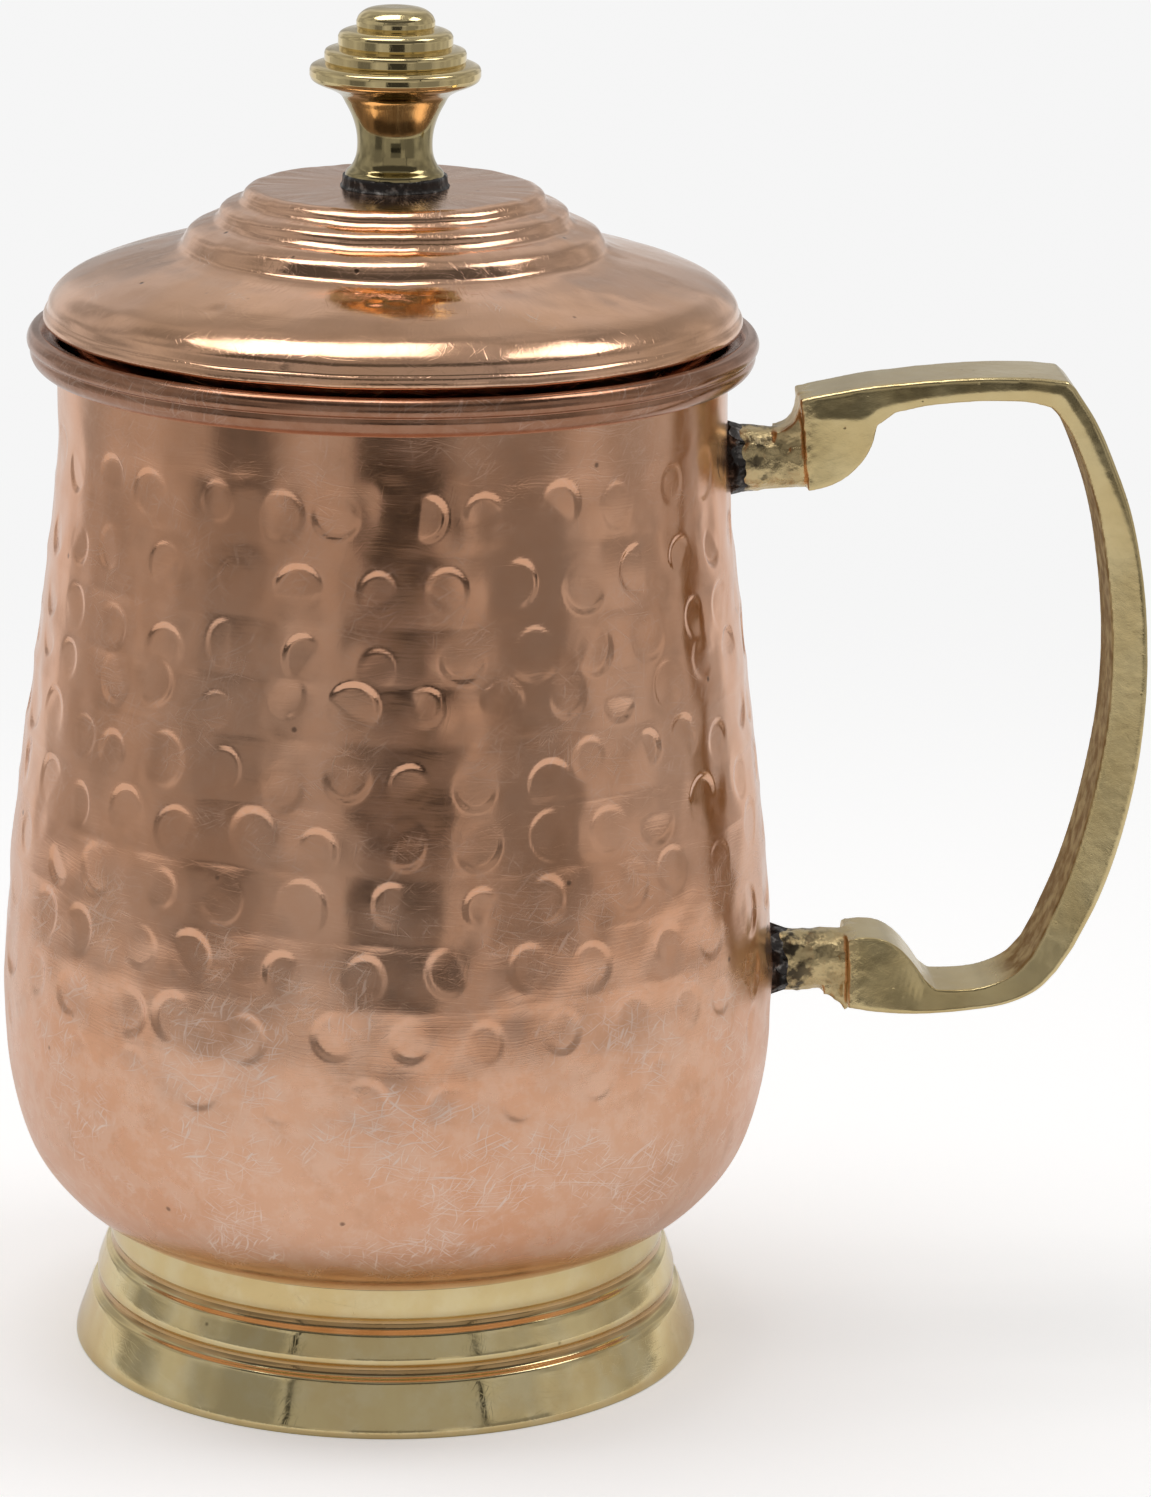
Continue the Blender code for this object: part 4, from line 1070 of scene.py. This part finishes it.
def build_floor():
    """Pale paper floor. The jug itself sees it only as far as the edge of a table."""
    corners = [(-1, -1), (1, -1), (1, 1), (-1, 1)]
    mesh = new_mesh([(x * FLOOR_HALF, y * FLOOR_HALF, 0) for x, y in corners], [(0, 1, 2, 3)])
    floor = linked("floor", mesh)
    made, shader, place = start_material("floor", 0.0)
    paper = blend(grain(place, 0.002), (0.88, 0.88, 0.88), (0.91, 0.91, 0.91))
    connect(paper, shader.inputs["Base Color"])
    shader.inputs["Roughness"].default_value = 0.7
    shader.inputs["Specular IOR Level"].default_value = 0.2
    distance = add("VectorMath", {"operation": "LENGTH"}, _0=place).outputs["Value"]
    tree = made.node_tree
    ray = add("LightPath", tree=tree)
    seen = ray.outputs["Is Camera Ray"]
    past_table = spread(distance, TABLE_RADIUS, TABLE_RADIUS + 0.02)
    hidden = times(past_table, ray.outputs["Is Glossy Ray"])
    far = times(spread(distance, 0.16, 0.6), seen)
    backdrop = add("Emission", tree=tree, Strength=BACKDROP)
    glow = add("Emission", Strength=raised(FLOOR_GLOW, seen, CAMERA_GLOW))
    lit = add("AddShader", _0=shader.outputs[0], _1=glow.outputs[0])
    papered = add("MixShader", _0=far, _1=lit.outputs[0], _2=backdrop.outputs[0])
    clear = add("BsdfTransparent", tree=tree)
    mixed = add("MixShader", _0=hidden, _1=papered.outputs[0], _2=clear.outputs[0])
    connect(mixed.outputs[0], tree.nodes["Material Output"].inputs[0])
    mesh.materials.append(made)


def window(value, low, high, soft):
    """1 between low and high, falling to 0 over soft outside them."""
    return times(spread(value, low - soft, low), spread(value, high, high + soft, 1.0, 0.0))


def build_room():
    """Grey studio that the jug reflects: dark round the camera, brighter behind the jug."""
    world = bpy.data.worlds.new("room")
    bpy.context.scene.world = world
    world.use_nodes = True
    tree = world.node_tree
    right, towards = camera_axes()
    way = add("TexCoord", tree=tree).outputs["Generated"]
    side = add("VectorMath", {"operation": "DOT_PRODUCT"}, _0=way, _1=right).outputs["Value"]
    front = add("VectorMath", {"operation": "DOT_PRODUCT"}, _0=way, _1=towards).outputs["Value"]
    up = add("SeparateXYZ", Vector=way).outputs[2]
    azimuth = maths("DEGREES", maths("ARCTAN2", side, front))
    level = maths("DEGREES", maths("ARCSINE", up))
    light = spread(maths("ABSOLUTE", azimuth), 110, 150, 0.44, 0.56)
    light = raised(light, spread(level, 30, 60), -0.08)
    light = times(light, spread(grain(way, 0.35, 2.0), 0.3, 0.7, 0.66, 1.3))
    for left_edge, right_edge, low, high, soft, radiance in ROOM_PANELS:
        share = times(window(azimuth, left_edge, right_edge, soft), window(level, low, high, soft))
        light = raised(light, share, maths("SUBTRACT", radiance, light))
    seen = add("LightPath", tree=tree).outputs["Is Camera Ray"]
    strength = raised(light, seen, maths("SUBTRACT", BACKDROP, light))
    background = tree.nodes["Background"]
    background.inputs["Color"].default_value = (1.0, 0.995, 0.985, 1.0)
    connect(strength, background.inputs["Strength"])


def build_lights():
    """Two soft panels overhead, left and right, with a gap over the middle."""
    right, _ = camera_axes()
    for name, (near, far) in SOFTBOXES.items():
        data = bpy.data.lights.new("softbox_" + name, "AREA")
        data.shape = "RECTANGLE"
        data.size = abs(far - near) * LAMP_HEIGHT
        data.size_y = 0.5 * LAMP_HEIGHT
        data.energy = SOFTBOX_RADIANCE * math.pi * data.size * data.size_y
        lamp = linked("softbox_" + name, data)
        middle = Vector((AXIS_X, 0, 0)) + right * ((near + far) / 2 * LAMP_HEIGHT)
        lamp.location = (middle.x, middle.y, LAMP_HEIGHT + LAMP_RAISE)


def main():
    copper = hammered_copper()
    knob_brass = turned_brass("brass_polished", 0.04, 0.10, 1e-6, 0.1, 189.8)
    foot_brass = turned_brass("brass_spun", 0.05, 0.14, 2e-6, 0.4)
    solder = dark_solder()
    build_body(copper, inside_copper())
    build_foot(foot_brass, solder, iron())
    build_handle(cast_brass())
    build_fasteners(foot_brass, solder)
    build_lid(lid_copper(), knob_brass, solder)
    build_floor()
    build_room()
    build_lights()
    build_camera()
    bpy.context.scene.view_settings.view_transform = "Standard"


main()
